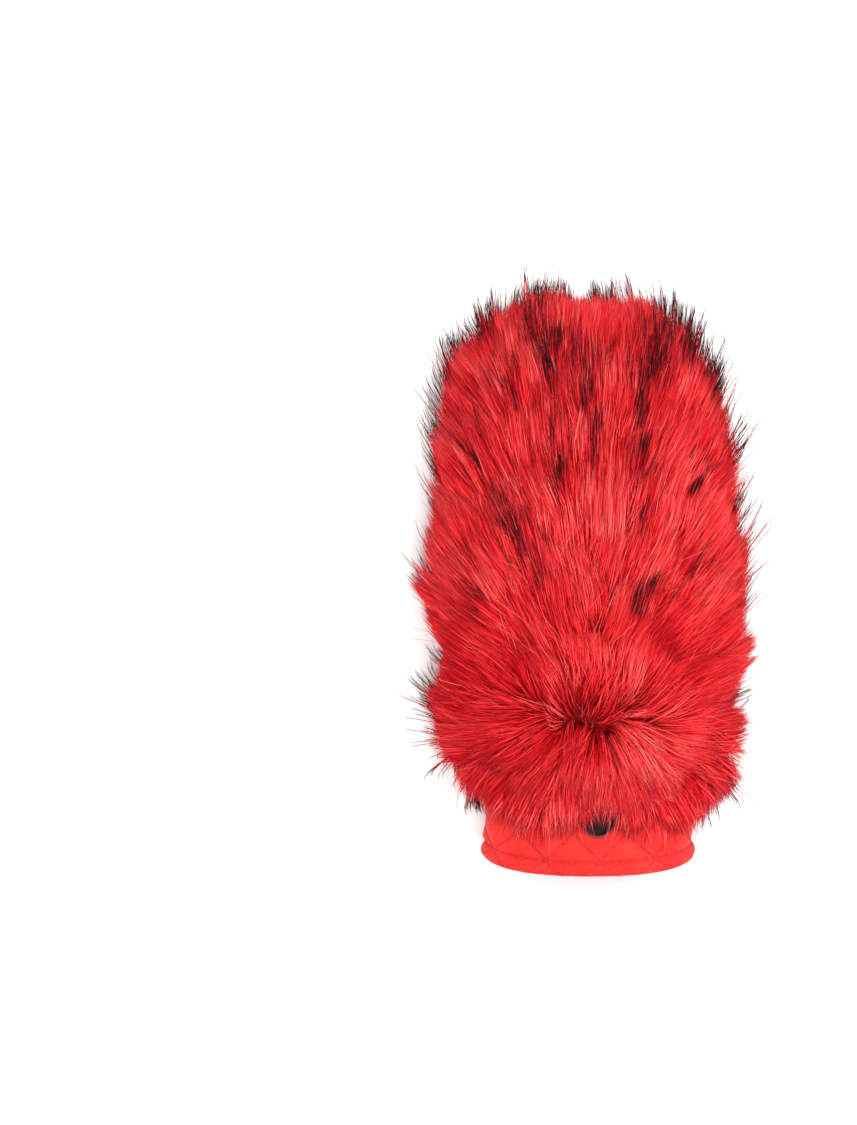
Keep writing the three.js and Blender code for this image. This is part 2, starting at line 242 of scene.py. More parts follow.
def stored(tree, geometry, name, value, kind="FLOAT_VECTOR", domain="POINT"):
    inputs = {"Geometry": geometry, "Name": name, "Value": value}
    made = addNode(tree, "GeometryNodeStoreNamedAttribute", inputs, data_type=kind, domain=domain)
    return made.outputs[0]


def rolled(tree, low, high, seed):
    inputs = {2: low, 3: high, "Seed": seed}
    return addNode(tree, "FunctionNodeRandomValue", inputs, data_type="FLOAT").outputs[1]


def placedOn(tree, points, shape, **inputs):
    inputs = {"Points": points, "Instance": shape, **inputs}
    return addNode(tree, "GeometryNodeInstanceOnPoints", inputs).outputs[0]


def newGeometryTree(name, sockets):
    # the sockets are the tree's own inputs, such as {"Length": "Float"}
    tree = bpy.data.node_groups.new(name, "GeometryNodeTree")
    tree.interface.new_socket("Geometry", in_out="INPUT", socket_type="NodeSocketGeometry")
    tree.interface.new_socket("Geometry", in_out="OUTPUT", socket_type="NodeSocketGeometry")
    for label, kind in sockets.items():
        tree.interface.new_socket(label, in_out="INPUT", socket_type="NodeSocket" + kind)
    return tree, tree.nodes.new("NodeGroupInput").outputs


def endGeometryTree(tree, geometry, material):
    realized = addNode(tree, "GeometryNodeRealizeInstances", {"Geometry": geometry}).outputs[0]
    painted = addNode(tree, "GeometryNodeSetMaterial", {"Geometry": realized, "Material": material})
    tree.links.new(painted.outputs[0], tree.nodes.new("NodeGroupOutput").inputs[0])


def evaluated(host):
    # the mesh that an object's modifiers make
    depsgraph = bpy.context.evaluated_depsgraph_get()
    return bpy.data.meshes.new_from_object(host.evaluated_get(depsgraph), depsgraph=depsgraph)


def growFrom(host, tree, values, name):
    # runs a tree on a mesh and keeps what it makes as a plain mesh of its own
    modifier = host.modifiers.new(name, "NODES")
    modifier.node_group = tree
    for socket in tree.interface.items_tree:
        if socket.in_out == "INPUT" and socket.name in values:
            modifier[socket.identifier] = values[socket.name]
    mesh = evaluated(host)
    host.modifiers.remove(modifier)
    mesh.name = name
    made = bpy.data.objects.new(name, mesh)
    scene.collection.objects.link(made)
    return made


def keepModified(made):
    # the object's mesh gives way to what its modifiers make of it
    mesh = evaluated(made)
    old = made.data
    made.modifiers.clear()
    made.data = mesh
    bpy.data.meshes.remove(old)
    mesh.shade_smooth()
    return mesh


def discard(*objects):
    for thing in objects:
        mesh = thing.data
        bpy.data.objects.remove(thing)
        bpy.data.meshes.remove(mesh)


def newMaterial(name):
    material = bpy.data.materials.new(name)
    material.use_nodes = True
    return material, material.node_tree, material.node_tree.nodes["Principled BSDF"]


def addRamp(tree, factor, stops):
    ramp = addNode(tree, "ShaderNodeValToRGB", {"Fac": factor})
    elements = ramp.color_ramp.elements
    while len(elements) < len(stops):
        elements.new(0.5)
    for element, (place, color) in zip(elements, stops):
        element.position = place
        element.color = (*color, 1)
    return ramp.outputs["Color"]


def blended(tree, *parts):
    # the sum of values, each times its share
    return total(tree, *[product(tree, value, share) for value, share in parts])


def mixedColor(tree, factor, first, second, blend="MIX"):
    inputs = {"Factor": factor, 6: first, 7: second}
    return addNode(tree, "ShaderNodeMix", inputs, data_type="RGBA", blend_type=blend).outputs[2]


def bumped(tree, height, strength, distance):
    inputs = {"Height": height, "Strength": strength, "Distance": distance}
    return addNode(tree, "ShaderNodeBump", inputs).outputs[0]


def objectPlace(tree):
    return addNode(tree, "ShaderNodeTexCoord").outputs["Object"]


def dress(piece, slot, *nodes):
    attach(piece, "root")
    if nodes:
        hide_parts(*nodes)


def addFloor():
    half = floor["side"] / 2
    square = ((-half, -half), (half, -half), (half, half), (-half, half))
    made = addMesh("floor", [(x, y, floor["level"]) for x, y in square], [(0, 1, 2, 3)], smooth=False)
    material, tree, shader = newMaterial("pale floor")
    setInputs(tree, shader, {"Base Color": (*floor["color"], 1), "Roughness": floor["roughness"]})
    made.data.materials.append(material)


# The form of the hand, the same as the frame's

hand = {
    "wristY": -0.092,
    "tipY": 0.131,
    "tipHeight": 0.017,
    "shoulderY": 0.080,  # from here the hand rounds off to its tip
    "crownPower": 2.3,  # how square the upper half of a section is
    "bellyPower": 2.9,
    "beltShare": 0.44,  # height of a section's widest level, as a share of the section
    "sag": 0.0016,  # how far the belly would dip below the floor that flattens it
    "tipAcross": (2.4, 0.45),  # the powers by which the tip rounds off, seen from above
    "tipUpright": (3, 0.5),  # and from the side
    "sections": [
        {"y": -0.092, "middleX": -0.0005, "halfWidth": 0.0495, "crown": 0.036},
        {"y": -0.060, "middleX": -0.0005, "halfWidth": 0.0525, "crown": 0.040},
        {"y": -0.020, "middleX": 0, "halfWidth": 0.056, "crown": 0.0435},
        {"y": 0.020, "middleX": 0, "halfWidth": 0.0575, "crown": 0.044},
        {"y": 0.052, "middleX": -0.0015, "halfWidth": 0.0555, "crown": 0.042},
        {"y": 0.080, "middleX": -0.0035, "halfWidth": 0.051, "crown": 0.039},
        {"y": 0.131, "middleX": -0.007, "halfWidth": 0.046, "crown": 0.033},
    ],
}


def valueAt(table, column, y):
    # a smooth curve through the table's rows
    last = len(table) - 1
    high = next((i for i, row in enumerate(table) if row["y"] > y), last)
    high = max(high, 1)
    low = high - 1

    def slope(i):
        before = table[max(i - 1, 0)]
        after = table[min(i + 1, last)]
        return (after[column] - before[column]) / (after["y"] - before["y"])

    span = table[high]["y"] - table[low]["y"]
    t = min(max((y - table[low]["y"]) / span, 0), 1)
    rise = 3 * t ** 2 - 2 * t ** 3
    value = table[low][column] * (1 - rise) + table[high][column] * rise
    value += slope(low) * span * (t ** 3 - 2 * t ** 2 + t)
    return value + slope(high) * span * (t ** 3 - t ** 2)


def roundedOff(along, inner, outer):
    return (1 - along ** inner) ** outer


def handSection(y, offset):
    end = hand["tipY"] + offset
    along = min(max((y - hand["shoulderY"]) / (end - hand["shoulderY"]), 0), 1)
    across = roundedOff(along, *hand["tipAcross"])
    upright = roundedOff(along, *hand["tipUpright"])
    crown = valueAt(hand["sections"], "crown", y) + offset
    tipHeight = hand["tipHeight"]
    return {
        "middleX": valueAt(hand["sections"], "middleX", y),
        "halfWidth": (valueAt(hand["sections"], "halfWidth", y) + offset) * across,
        "high": tipHeight + (crown - tipHeight) * upright,
        "low": tipHeight - (tipHeight + hand["sag"] + offset) * upright,
        "floor": -offset,
    }


def sectionPoints(section, angles):
    belt = section["low"] + hand["beltShare"] * (section["high"] - section["low"])
    across = np.cos(angles)
    upright = np.sin(angles)
    power = np.where(upright > 0, 2 / hand["crownPower"], 2 / hand["bellyPower"])
    reach = np.where(upright > 0, section["high"] - belt, belt - section["low"])
    x = section["middleX"] + section["halfWidth"] * np.sign(across) * np.abs(across) ** power
    z = belt + reach * np.sign(upright) * np.abs(upright) ** power
    return np.column_stack([x, np.maximum(z, section["floor"])])


def spaced(points, count, closed=False):
    # evenly spaced points along a line of points
    if closed:
        points = np.vstack([points, points[:1]])
    steps = np.linalg.norm(np.diff(points, axis=0), axis=1)
    along = np.concatenate([[0], np.cumsum(steps)])
    wanted = np.linspace(0, along[-1], count, endpoint=not closed)
    return np.column_stack([np.interp(wanted, along, column) for column in points.T])


# The thumb's form, to keep the pelt off it

thumb = {
    "sections": [
        {"y": -0.058, "x": -0.037, "height": 0.014, "halfWidth": 0.015, "halfHeight": 0.0096},
        {"y": -0.038, "x": -0.041, "height": 0.0106, "halfWidth": 0.0165, "halfHeight": 0.0102},
        {"y": -0.018, "x": -0.046, "height": 0.0105, "halfWidth": 0.0165, "halfHeight": 0.0102},
        {"y": 0.002, "x": -0.050, "height": 0.0103, "halfWidth": 0.0155, "halfHeight": 0.010},
        {"y": 0.016, "x": -0.0525, "height": 0.0099, "halfWidth": 0.0135, "halfHeight": 0.0094},
        {"y": 0.025, "x": -0.054, "height": 0.0096, "halfWidth": 0.0095, "halfHeight": 0.0072},
        {"y": 0.0295, "x": -0.0545, "height": 0.0094, "halfWidth": 0.0, "halfHeight": 0.0},
    ],
}


def outsideThumb(points, room):
    # 1 where a point is clear of the thumb, 0 inside it or within room of it
    clear = np.ones(len(points))
    first = thumb["sections"][0]["y"]
    last = thumb["sections"][-1]["y"] + room
    for i, (x, y, z) in enumerate(points):
        if first < y < last:
            width = max(valueAt(thumb["sections"], "halfWidth", y), 0) + room
            height = max(valueAt(thumb["sections"], "halfHeight", y), 0) + room
            across = (x - valueAt(thumb["sections"], "x", y)) / width
            upright = (z - valueAt(thumb["sections"], "height", y)) / height
            if across ** 2 + upright ** 2 < 1:
                clear[i] = 0
    return clear


# The fur

pelt = {
    "offset": 0.0027,  # from the padded hand to the outside of the fur's backing
    "thickness": 0.0024,
    "seamHeight": 0.009,
    "columns": 76,
    "rowStep": 0.0026,
    "tipRows": 26,
    "flat": (0.155, 0.275),  # the cut of the backing
    "overThumb": 0.0012,  # the pelt's edge stays this far off the thumb
    "fineness": 0.5,  # of the backing's rows and columns
    "merged": 0.0002,
    "gap": 0.0003,  # between the backing and the padded hand
    "holeFromY": 0.12,  # the rows leave a hole past here, at the tip, which is filled
    "knit": 900.0,
    "knitStrength": 0.7,
    "knitDepth": 0.0004,
    # the backing's red is darker than the pile's: partly the knit's own colour and partly painted shade in
    # the gaps between locks
    "colors": [(0.3, (0.34, 0.004, 0.008)), (0.7, (0.54, 0.014, 0.018))],
    "roughness": 0.9,
}

comb = {
    # the pile is brushed away from this bent line over the back of the wrist
    "parting": [
        (-0.029, -0.050), (-0.019, -0.058), (-0.007, -0.055),
        (0.003, -0.060), (0.013, -0.056), (0.025, -0.062),
    ],
    "step": 0.001,
    "closest": 0.002,  # nearer than this, the parting pushes no harder
    "upward": 0.3,  # brushed on towards the fingertips
    "fallFrom": -0.067,  # from here on down the pile begins to hang
    "fallTo": -0.090,
    "fringeZone": (0.010, 0.016),  # the fringe starts this far above fallTo, and is whole after this much
    "sidesZone": (0.008, 0.012),  # the same for the shorter pile at the sides
    "rootFall": 0.6,  # how much the fringe's roots and tips turn down
    "tipFall": 0.8,
    "tipBend": 1.4,  # how hard hanging tips bend down
    "outward": 0.22,  # how much the hanging tips still point to the sides
    "fanWidth": 0.05,
    "droop": 0.35,
    "shortest": 0.5,
    "open": 0.012,  # the pile stands up within this distance of the parting
    "openLift": (56, 12),  # at root and tip, in degrees
    "facing": 2,  # above 1, the parting also opens skin that doesn't quite face up
    "mess": 1.5,  # how much less evenly it lies there
    "loosened": 0.5,  # how much less it locks there
    "tidySides": 0.62,  # how much shorter it is at the sides of the wrist
    "trims": [  # a place, its radius, and how much longer or shorter the pile is there
        (-0.027, 0.130, 0.013, 0.04),
        (0.035, 0.122, 0.012, 0.16),
        (-0.046, 0.122, 0.009, -0.28),
        (-0.052, 0.084, 0.008, 0.10),
        (-0.055, 0.066, 0.009, -0.18),
        (-0.056, 0.030, 0.012, -0.06),
        (0.059, -0.016, 0.010, -0.10),
        (0.056, 0.045, 0.014, -0.22),
        (-0.057, 0.028, 0.012, -0.18),
        (0.060, 0.017, 0.010, -0.30),
        (0.019, 0.130, 0.008, -0.20),
        (0.052, 0.092, 0.010, -0.16),
        (-0.050, 0.108, 0.008, -0.12),
        (0.057, -0.018, 0.010, -0.18),
        (-0.057, -0.042, 0.010, -0.32),
        (0.056, -0.053, 0.012, -0.24),
        (0.054, -0.071, 0.008, 0.24),
        (-0.058, -0.062, 0.009, 0.20),
        (-0.050, -0.088, 0.009, -0.60),
        (0.003, -0.090, 0.009, -0.50),
        (-0.031, -0.038, 0.009, -0.28),
        (-0.002, -0.034, 0.006, -0.22),
        (0.032, -0.034, 0.009, -0.28),
        (-0.030, -0.077, 0.010, -0.26),
        (0.037, -0.080, 0.007, -0.26),
        (-0.004, -0.076, 0.005, -0.20),
        (0.000, -0.058, 0.010, 0.10),
        (0.031, -0.091, 0.006, 0.22),
        (0.014, -0.091, 0.005, 0.15),
        (-0.022, -0.091, 0.005, 0.14),
        (-0.048, -0.076, 0.008, 0.24),
        (0.050, -0.077, 0.008, 0.10),
        (-0.012, 0.133, 0.010, -0.10),
        (0.056, 0.036, 0.009, -0.12),
    ],
    "shadeSpots": [  # painted light and shade: a place, its radius, and how much darker or lighter the pile is painted there, lighter where it is lit and darker at the sides and in hollows
        (-0.040, -0.055, 0.036, -0.30),
        (0.035, -0.055, 0.036, -0.24),
        (0.004, 0.012, 0.030, 0.20),
        (-0.040, 0.020, 0.030, -0.10),
        (0.010, -0.050, 0.012, 0.35),
        (-0.015, -0.050, 0.010, 0.30),
        (-0.025, -0.043, 0.007, -0.50),
        (0.024, -0.036, 0.008, -0.45),
        (0.022, -0.064, 0.010, 0.35),
        (-0.036, -0.080, 0.010, -0.25),
        (0.040, -0.083, 0.009, -0.25),
        (0.000, -0.096, 0.018, 0.45),
        (-0.036, -0.096, 0.016, 0.35),
        (0.036, -0.096, 0.016, 0.30),
    ],
}

# along the hand: the pile's length, its lift off the skin at root and tip in degrees, and how it locks
pile = [
    {"y": -0.092, "length": 0.028, "rootLift": 28, "tipLift": -16, "lock": 0.78},
    {"y": -0.080, "length": 0.031, "rootLift": 38, "tipLift": -8, "lock": 0.82},
    {"y": -0.066, "length": 0.034, "rootLift": 48, "tipLift": 2, "lock": 0.84},
    {"y": -0.038, "length": 0.035, "rootLift": 50, "tipLift": 10, "lock": 0.82},
    {"y": 0.005, "length": 0.037, "rootLift": 50, "tipLift": 11, "lock": 0.72},
    {"y": 0.038, "length": 0.037, "rootLift": 50, "tipLift": 12, "lock": 0.60},
    {"y": 0.076, "length": 0.036, "rootLift": 48, "tipLift": 12, "lock": 0.45},
    {"y": 0.100, "length": 0.033, "rootLift": 47, "tipLift": 15, "lock": 0.42},
    {"y": 0.118, "length": 0.030, "rootLift": 48, "tipLift": 22, "lock": 0.42},
    {"y": 0.134, "length": 0.0245, "rootLift": 58, "tipLift": 34, "lock": 0.42},
]
unevenness = {"spacing": 0.024, "length": 0.34, "turn": 0.5, "lift": 0.34}  # broad waves in the pile

# bundles of long hairs with dark ends
tufts = {
    "onBack": [  # where their ends lie, in millimetres
        (-27, 136), (-41, 133), (42, 124), (-18, 118), (30, 118), (53, 108), (24, 104), (-2, 101),
        (-38, 101), (21, 96), (-20, 87), (-1, 82), (65, 78), (22, 74), (-52, 72), (-15, 67),
        (46, 61), (24, 45), (-38, 38), (-25, 22), (45, 19), (24, 8), (-52, 5),
    ],
    "behind": 0.022,  # from their ends back to their roots
    "inRow": 3,  # each streak on the back is a row of roots, one behind the other
    "rowStep": 0.0056,
    "rowShare": 0.8,  # size of a root, as a share of the one before it
    "backFacing": 0.3,  # how far up the skin faces at least under the streaks
    "edgeFacing": 0.45,  # and at most at the sides
    "atEdges": 58,  # more of them, scattered over the sides and the fingertips
    "apart": 0.0098,
    "reach": 0.0026,
    "reachSpread": (0.4, 1.3),
    "sizes": (0.45, 1.2),
    "pull": 0.25,  # how much a tuft's strands draw together
    "raise": 0.17,  # how much steeper they stand, in radians
    "longer": 0.10,  # how much longer they are, as a share
    "seed": 11,
}

strands = {
    "thickness": 0.00050,
    "rings": [(0, 0), (0.25, 1), (0.66, 0.8), (1, 0)],  # share of the length, share of the thickness
    "lockSpacing": 0.012,
    "wispSpacing": 0.0029,
    "wispPull": 0.80,
    "middlePull": (0.45, 0.8),  # at a path's middle: share of the pull, and of the gap that is left
    "fewLong": 1.5,  # above 1, long strands are fewer than short ones
    "lengthSpan": 2.4,  # from the shortest to the longest, times the path's own unevenness
    "tones": 48,
    "toneWidth": 0.42,  # how much of its column in the map a strand takes up on each side
    "mapMargin": 0.02,
    "darkTones": 0.86,  # from here up the tones are dark-ended
    "darkest": 0.97,
    "toneGap": 0.01,  # plain and dark tones stay this far off their border
    "floorHeight": 0.0008,
    "overCuff": 0.0006,  # the hair's room over the quilt and the badge
    "gravity": 0.08,
}

# strands follow wisps, and wisps follow locks: how unevenly each kind of path runs, how much of the gap to
# its guide is left at its tip, and what shares of its tone come from the guide and from chance
paths = {
    "lock": {"length": 0.2, "turn": 0.3, "lift": 0.26, "mess": 1, "seed": 20,
             "densest": 40000.0, "rootSeed": 3, "toneSeed": 27},
    "wisp": {"length": 0.16, "turn": 0.22, "lift": 0.2, "mess": 0.5, "seed": 30,
             "densest": 400000.0, "rootSeed": 4, "toneSeed": 38, "tone": (0.55, 0.45),
             "pull": (0.75, 1), "pullSeed": 37, "loose": 0.95, "locked": -0.75},
    "strand": {"length": 0.2, "turn": 0.18, "lift": 0.18, "mess": 1.5, "seed": 40,
               "rootSeed": 5, "toneSeed": 48, "tone": (0.42, 0.60),
               "pull": (0.55, 1), "pullSeed": 47, "left": 0.35},
    "tuft": {"length": 0.1, "turn": 0.15, "lift": 0.1, "mess": 0.3, "seed": 80,
             "reachSeed": 45, "toneSeed": 49, "left": 0.4},
    "looseHair": {"length": 0.16, "lift": 0.18, "mess": 0, "seed": 50, "toneSeed": 55},
}

pileColors = {
    "body": [  # by tone; the palest, pinkish tones are partly lighter hairs and partly a painted highlight along lit fibres, in place of specular
        (0.0, (0.27, 0.001, 0.005)),
        (0.25, (0.66, 0.008, 0.017)),
        (0.55, (0.95, 0.056, 0.062)),
        (0.84, (1.0, 0.215, 0.200)),
        (0.88, (0.60, 0.012, 0.018)),
    ],
    "rootShade": [  # painted shade along a strand: darker towards the root, for the shadow deep in the pile
        (0.0, (0.85, 0.50, 0.50)),
        (0.40, (0.94, 0.80, 0.80)),
        (0.75, (1, 1, 1)),
    ],
    "ends": [  # the dark ends, by tone
        (0.87, (0.085, 0.006, 0.011)),
        (0.93, (0.030, 0.005, 0.008)),
        (1.0, (0.013, 0.005, 0.007)),
    ],
    "darkFrom": (0.46, 0.76),  # where on the strand they start, for the first and the last dark tone
    "darkFade": 0.12,
    "roughness": 0.6,
    # low, as the fibres' highlight is partly painted into the palest tones
    "specular": 0.03,
}

# single hairs over the pile
looseHairs = [
    {
        "name": "guard_hairs",
        "count": 3700,
        "fromY": -0.2,
        "toY": 0.2,
        "reach": 0.0020,  # from the tufts' roots
        "longer": 0.0135,
        "turn": 0.24,
        "flatter": 0.22,  # on the back of the hand
        "thickness": 0.00046,
        "tones": (0.89, 0.999),
        "rings": [(0, 0), (0.3, 1), (0.85, 0.8), (1, 0)],
        "seed": 50,
    },
    {
        "name": "fringe_hairs",
        "count": 1700,
        "fromY": -0.0925,
        "toY": -0.080,
        "reach": 1,
        "longer": 0.004,
        "turn": 0.4,
        "flatter": 0.2,
        "thickness": 0.00026,
        "tones": (0.0, 0.90),
        "rings": [(0, 0), (0.25, 1), (0.75, 0.9), (1, 0)],
        "seed": 70,
    },
    {
        "name": "flyaway_hairs",
        "count": 1200,
        "fromY": -0.086,
        "toY": 0.030,
        "reach": 1,
        "longer": 0.0002,
        "turn": 0.9,
        "flatter": 0.05,
        "thickness": 0.00023,
        "tones": (0.45, 0.84),
        "rings": [(0, 0), (0.25, 1), (0.75, 0.9), (1, 0)],
        "seed": 90,
    },
]

# the pile itself, in strips across the hand
furPieces = [
    {"name": "fur_fingertips", "fromY": 0.088, "toY": 0.2, "strands": 13800},
    {"name": "fur_fingers", "fromY": 0.036, "toY": 0.088, "strands": 13800},
    {"name": "fur_back", "fromY": -0.010, "toY": 0.036, "strands": 13800},
    {"name": "fur_heel", "fromY": -0.053, "toY": -0.010, "strands": 13800},
    {"name": "fur_wrist", "fromY": -0.2, "toY": -0.053, "strands": 13800},
]

# what both trees for hair are told
hairSockets = {
    "Needle": "Object",
    "Tufts": "Object",
    "Tuft Reach": "Float",
    "Density": "Float",
    "From Y": "Float",
    "To Y": "Float",
    "Thickness": "Float",
    "Material": "Material",
}


def skinRow(y, offset, columns):
    ring = sectionPoints(handSection(y, offset), np.radians(np.linspace(-90, 270, 721)))
    ring = ring[ring[:, 1] >= pelt["seamHeight"]]
    ring = spaced(ring, columns)
    return np.column_stack([ring[:, 0], np.full(len(ring), y), ring[:, 1]])


def skinRows(offset, fineness=1):
    start = hand["wristY"]
    reach = hand["tipY"] + offset - hand["shoulderY"]
    bodyRows = round((hand["shoulderY"] - start) / pelt["rowStep"] * fineness)
    tipRows = round(pelt["tipRows"] * fineness)
    columns = round(pelt["columns"] * fineness)
    heights = list(np.linspace(start, hand["shoulderY"], bodyRows + 1))
    for row in range(1, tipRows):
        heights.append(hand["shoulderY"] + reach * math.sin(row / tipRows * math.pi / 2))
    return [skinRow(y, offset, columns) for y in heights]


def smoothStep(values):
    t = np.clip(values, 0, 1)
    return t * t * (3 - 2 * t)


def unit(vectors, least=1e-6):
    return vectors / np.maximum(np.linalg.norm(vectors, axis=1, keepdims=True), least)


def belowFall(heights, zone):
    # from 0 above the zone to 1 under it
    above, depth = zone
    return smoothStep((comb["fallTo"] + above - heights) / depth)


def combedDirections(points, normals):
    # unit directions along the skin in which the pile lies at root and tip, and how near the parting is
    length = np.linalg.norm(np.diff(comb["parting"], axis=0), axis=1).sum()
    line = spaced(np.array(comb["parting"]), round(length / comb["step"]))
    apart = points[:, None, :2] - line[None]
    distance = np.linalg.norm(apart, axis=2)
    away = unit((apart / np.maximum(distance, comb["closest"])[..., None] ** 2).sum(axis=1))
    facingUp = smoothStep(normals[:, 2] * comb["facing"])
    near = np.exp(-(distance.min(axis=1) / comb["open"]) ** 2) * facingUp
    heights = points[:, 1]
    hanging = smoothStep((comb["fallFrom"] - heights) / (comb["fallFrom"] - comb["fallTo"]))
    falling = belowFall(heights, comb["fringeZone"])
    sideways = comb["outward"] * points[:, 0] / comb["fanWidth"]
    down = unit(np.column_stack([sideways, -np.ones(len(points))]))
    away[:, 1] += comb["upward"] * (1 - hanging)
    away = unit(away)
    rootWay = away * (1 - comb["rootFall"] * falling[:, None]) + down * comb["rootFall"] * falling[:, None]
    bend = comb["tipBend"] * hanging * (1 - np.maximum(away[:, 1], 0) * (1 - falling))
    tipWay = away * (1 - comb["tipFall"] * falling[:, None]) + down * bend[:, None]
    ways = []
    for flat in (rootWay, tipWay):
        way = np.column_stack([unit(flat), np.full(len(flat), -comb["droop"])])
        way -= normals * np.sum(way * normals, axis=1, keepdims=True)
        ways.append(unit(way, comb["shortest"]))
    return ways[0], ways[1], near


def pileValues(column, heights):
    return np.array([valueAt(pile, column, y) for y in heights])


def withSpots(values, points, spots):
    # a spot is a place, its radius, and how much more or less of the value there is
    for x, y, radius, change in spots:
        away = (points[:, 0] - x) ** 2 + (points[:, 1] - y) ** 2
        values = values * (1 + change * np.exp(-away / radius ** 2))
    return values


def makeSkin():
    rows = skinRows(pelt["offset"])
    points = np.vstack(rows)
    skin = addMesh("fur_skin", points, gridFaces(len(rows), pelt["columns"]))
    normals = np.zeros(len(points) * 3, np.float32)
    skin.data.vertices.foreach_get("normal", normals)
    normals = normals.reshape(-1, 3).astype(float)
    rootWay, tipWay, near = combedDirections(points, normals)
    heights = points[:, 1]
    length = withSpots(pileValues("length", heights), points, comb["trims"])
    atSides = belowFall(heights, comb["sidesZone"]) * np.abs(normals[:, 0]) ** 2
    rootLift = pileValues("rootLift", heights)
    rootLift += (comb["openLift"][0] - rootLift) * near
    tipLift = pileValues("tipLift", heights)
    tipLift += (comb["openLift"][1] - tipLift) * near
    values = {
        "rootWay": rootWay,
        "tipWay": tipWay,
        "pileLength": length * (1 - comb["tidySides"] * atSides),
        "rootLift": np.radians(rootLift),
        "tipLift": np.radians(tipLift),
        "lock": pileValues("lock", heights) * (1 - comb["loosened"] * near),
        "mess": 1 + comb["mess"] * near,
        "shade": withSpots(np.ones(len(points)), points, comb["shadeSpots"]),
        "thick": outsideThumb(points, pelt["overThumb"]),
    }
    for name, value in values.items():
        storeValues(skin.data, name, value)
    return skin, makeTufts(skin, points, normals, rootWay)


def makeTufts(skin, points, normals, ways):
    # points on the skin for the roots of the tufts, with what the skin says there
    ends = points[:, :2] + ways[:, :2] * tufts["behind"]
    chosen = []
    for x, y in tufts["onBack"]:
        gaps = np.linalg.norm(ends - np.array([x, y]) / 1000, axis=1)
        chosen.append(np.argmin(gaps + (normals[:, 2] < tufts["backFacing"])))
    wanted = len(chosen) + tufts["atEdges"]
    dice = np.random.default_rng(tufts["seed"])
    for i in dice.permutation(len(points)):
        atEdge = normals[i, 2] < tufts["edgeFacing"]
        clear = np.linalg.norm(points[chosen] - points[i], axis=1).min() > tufts["apart"]
        if atEdge and clear and len(chosen) < wanted:
            chosen.append(i)
    sizes = list(dice.uniform(*tufts["sizes"], len(chosen)))
    for lead in range(len(tufts["onBack"])):
        for place in range(1, tufts["inRow"]):
            spot = points[chosen[lead]] - ways[chosen[lead]] * tufts["rowStep"] * place
            chosen.append(np.argmin(np.linalg.norm(points - spot, axis=1)))
            sizes.append(sizes[lead] * tufts["rowShare"] ** place)
    made = addMesh("tuft_roots", points[chosen], [])
    storeValues(made.data, "normalWay", normals[chosen])
    storeValues(made.data, "size", sizes)
    for name in ("rootWay", "tipWay", "pileLength", "rootLift", "tipLift", "mess"):
        storeValues(made.data, name, readValues(skin.data, name)[chosen])
    return made


def makeNeedle(rings):
    # one strand as a closed three-sided needle; where each corner goes is told by its attributes
    sides = 3
    corners = [(0, 1, rings[0])]
    for ring in rings[1:-1]:
        corners += [(side, side, ring) for side in range(sides)]
    corners.append((0, 1, rings[-1]))
    points = []
    turns = []
    for side, _, (share, girth) in corners:
        angle = 2 * math.pi * side / sides
        turns.append(angle)
        points.append((girth * math.cos(angle), girth * math.sin(angle), share))
    needle = addMesh("needle", points, spindleFaces(len(rings), sides))
    storeValues(needle.data, "along", [ring[0] for _, _, ring in corners])
    storeValues(needle.data, "girth", [ring[1] for _, _, ring in corners])
    storeValues(needle.data, "turn", turns)
    storeValues(needle.data, "column", [column - 1 for _, column, _ in corners])
    return needle


def storePath(tree, points, normal, spread, longer=0.0, raised=0.0):
    # a strand's path runs from its root past a middle point to its tip
    root = position(tree)
    tuft = named(tree, "tuft")
    seed = spread["seed"]
    waves = separated(tree, noiseAt(tree, root, 1 / unevenness["spacing"], 1.0)["Color"])
    wave = {}
    for axis, name in zip("XYZ", ("length", "turn", "lift")):
        wave[name] = product(tree, maths(tree, "SUBTRACT", waves[axis], 0.5), unevenness[name] * 2)
    few = maths(tree, "POWER", rolled(tree, 0, 1, seed), strands["fewLong"])
    chance = total(tree, product(tree, few, spread["length"] * strands["lengthSpan"]), 1 - spread["length"])
    broad = total(tree, product(tree, tuft, tufts["longer"]), wave["length"], 1.0)
    length = product(tree, total(tree, named(tree, "pileLength"), longer), chance, broad)
    messy = product(tree, maths(tree, "SUBTRACT", named(tree, "mess"), 1.0), spread["mess"])
    messy = total(tree, messy, 1.0)
    turn = total(tree, product(tree, rolled(tree, -1, 1, seed + 1), spread["turn"], messy), wave["turn"])
    lift = product(tree, rolled(tree, -spread["lift"], spread["lift"], seed + 2), messy)
    lift = total(tree, lift, wave["lift"], product(tree, tuft, tufts["raise"]), raised)
    ends = []
    for way, angle in (("rootWay", "rootLift"), ("tipWay", "tipLift")):
        turned = turnedRound(tree, named(tree, way, "FLOAT_VECTOR"), normal, turn)
        leaning = total(tree, named(tree, angle), lift)
        flat = scaled(tree, turned, maths(tree, "COSINE", leaning))
        upright = scaled(tree, normal, maths(tree, "SINE", leaning))
        ends.append(scaled(tree, vectorTotal(tree, flat, upright), product(tree, length, 0.5)))
    middle = vectorTotal(tree, root, ends[0])
    tip = vectorTotal(tree, middle, ends[1])
    weight = combined(tree, z=product(tree, length, -strands["gravity"]))
    points = stored(tree, points, "root", root)
    points = stored(tree, points, "normalWay", normal)
    points = stored(tree, points, "middle", middle)
    return stored(tree, points, "tip", vectorTotal(tree, tip, weight))


def fromNearest(tree, guides, name, kind="FLOAT_VECTOR"):
    # a value of the nearest guide
    inputs = {"Geometry": guides, "Sample Position": position(tree)}
    nearest = addNode(tree, "GeometryNodeSampleNearest", inputs, domain="POINT").outputs[0]
    inputs = {"Geometry": guides, "Value": named(tree, name, kind), "Index": nearest}
    return addNode(tree, "GeometryNodeSampleIndex", inputs, data_type=kind, domain="POINT").outputs[0]


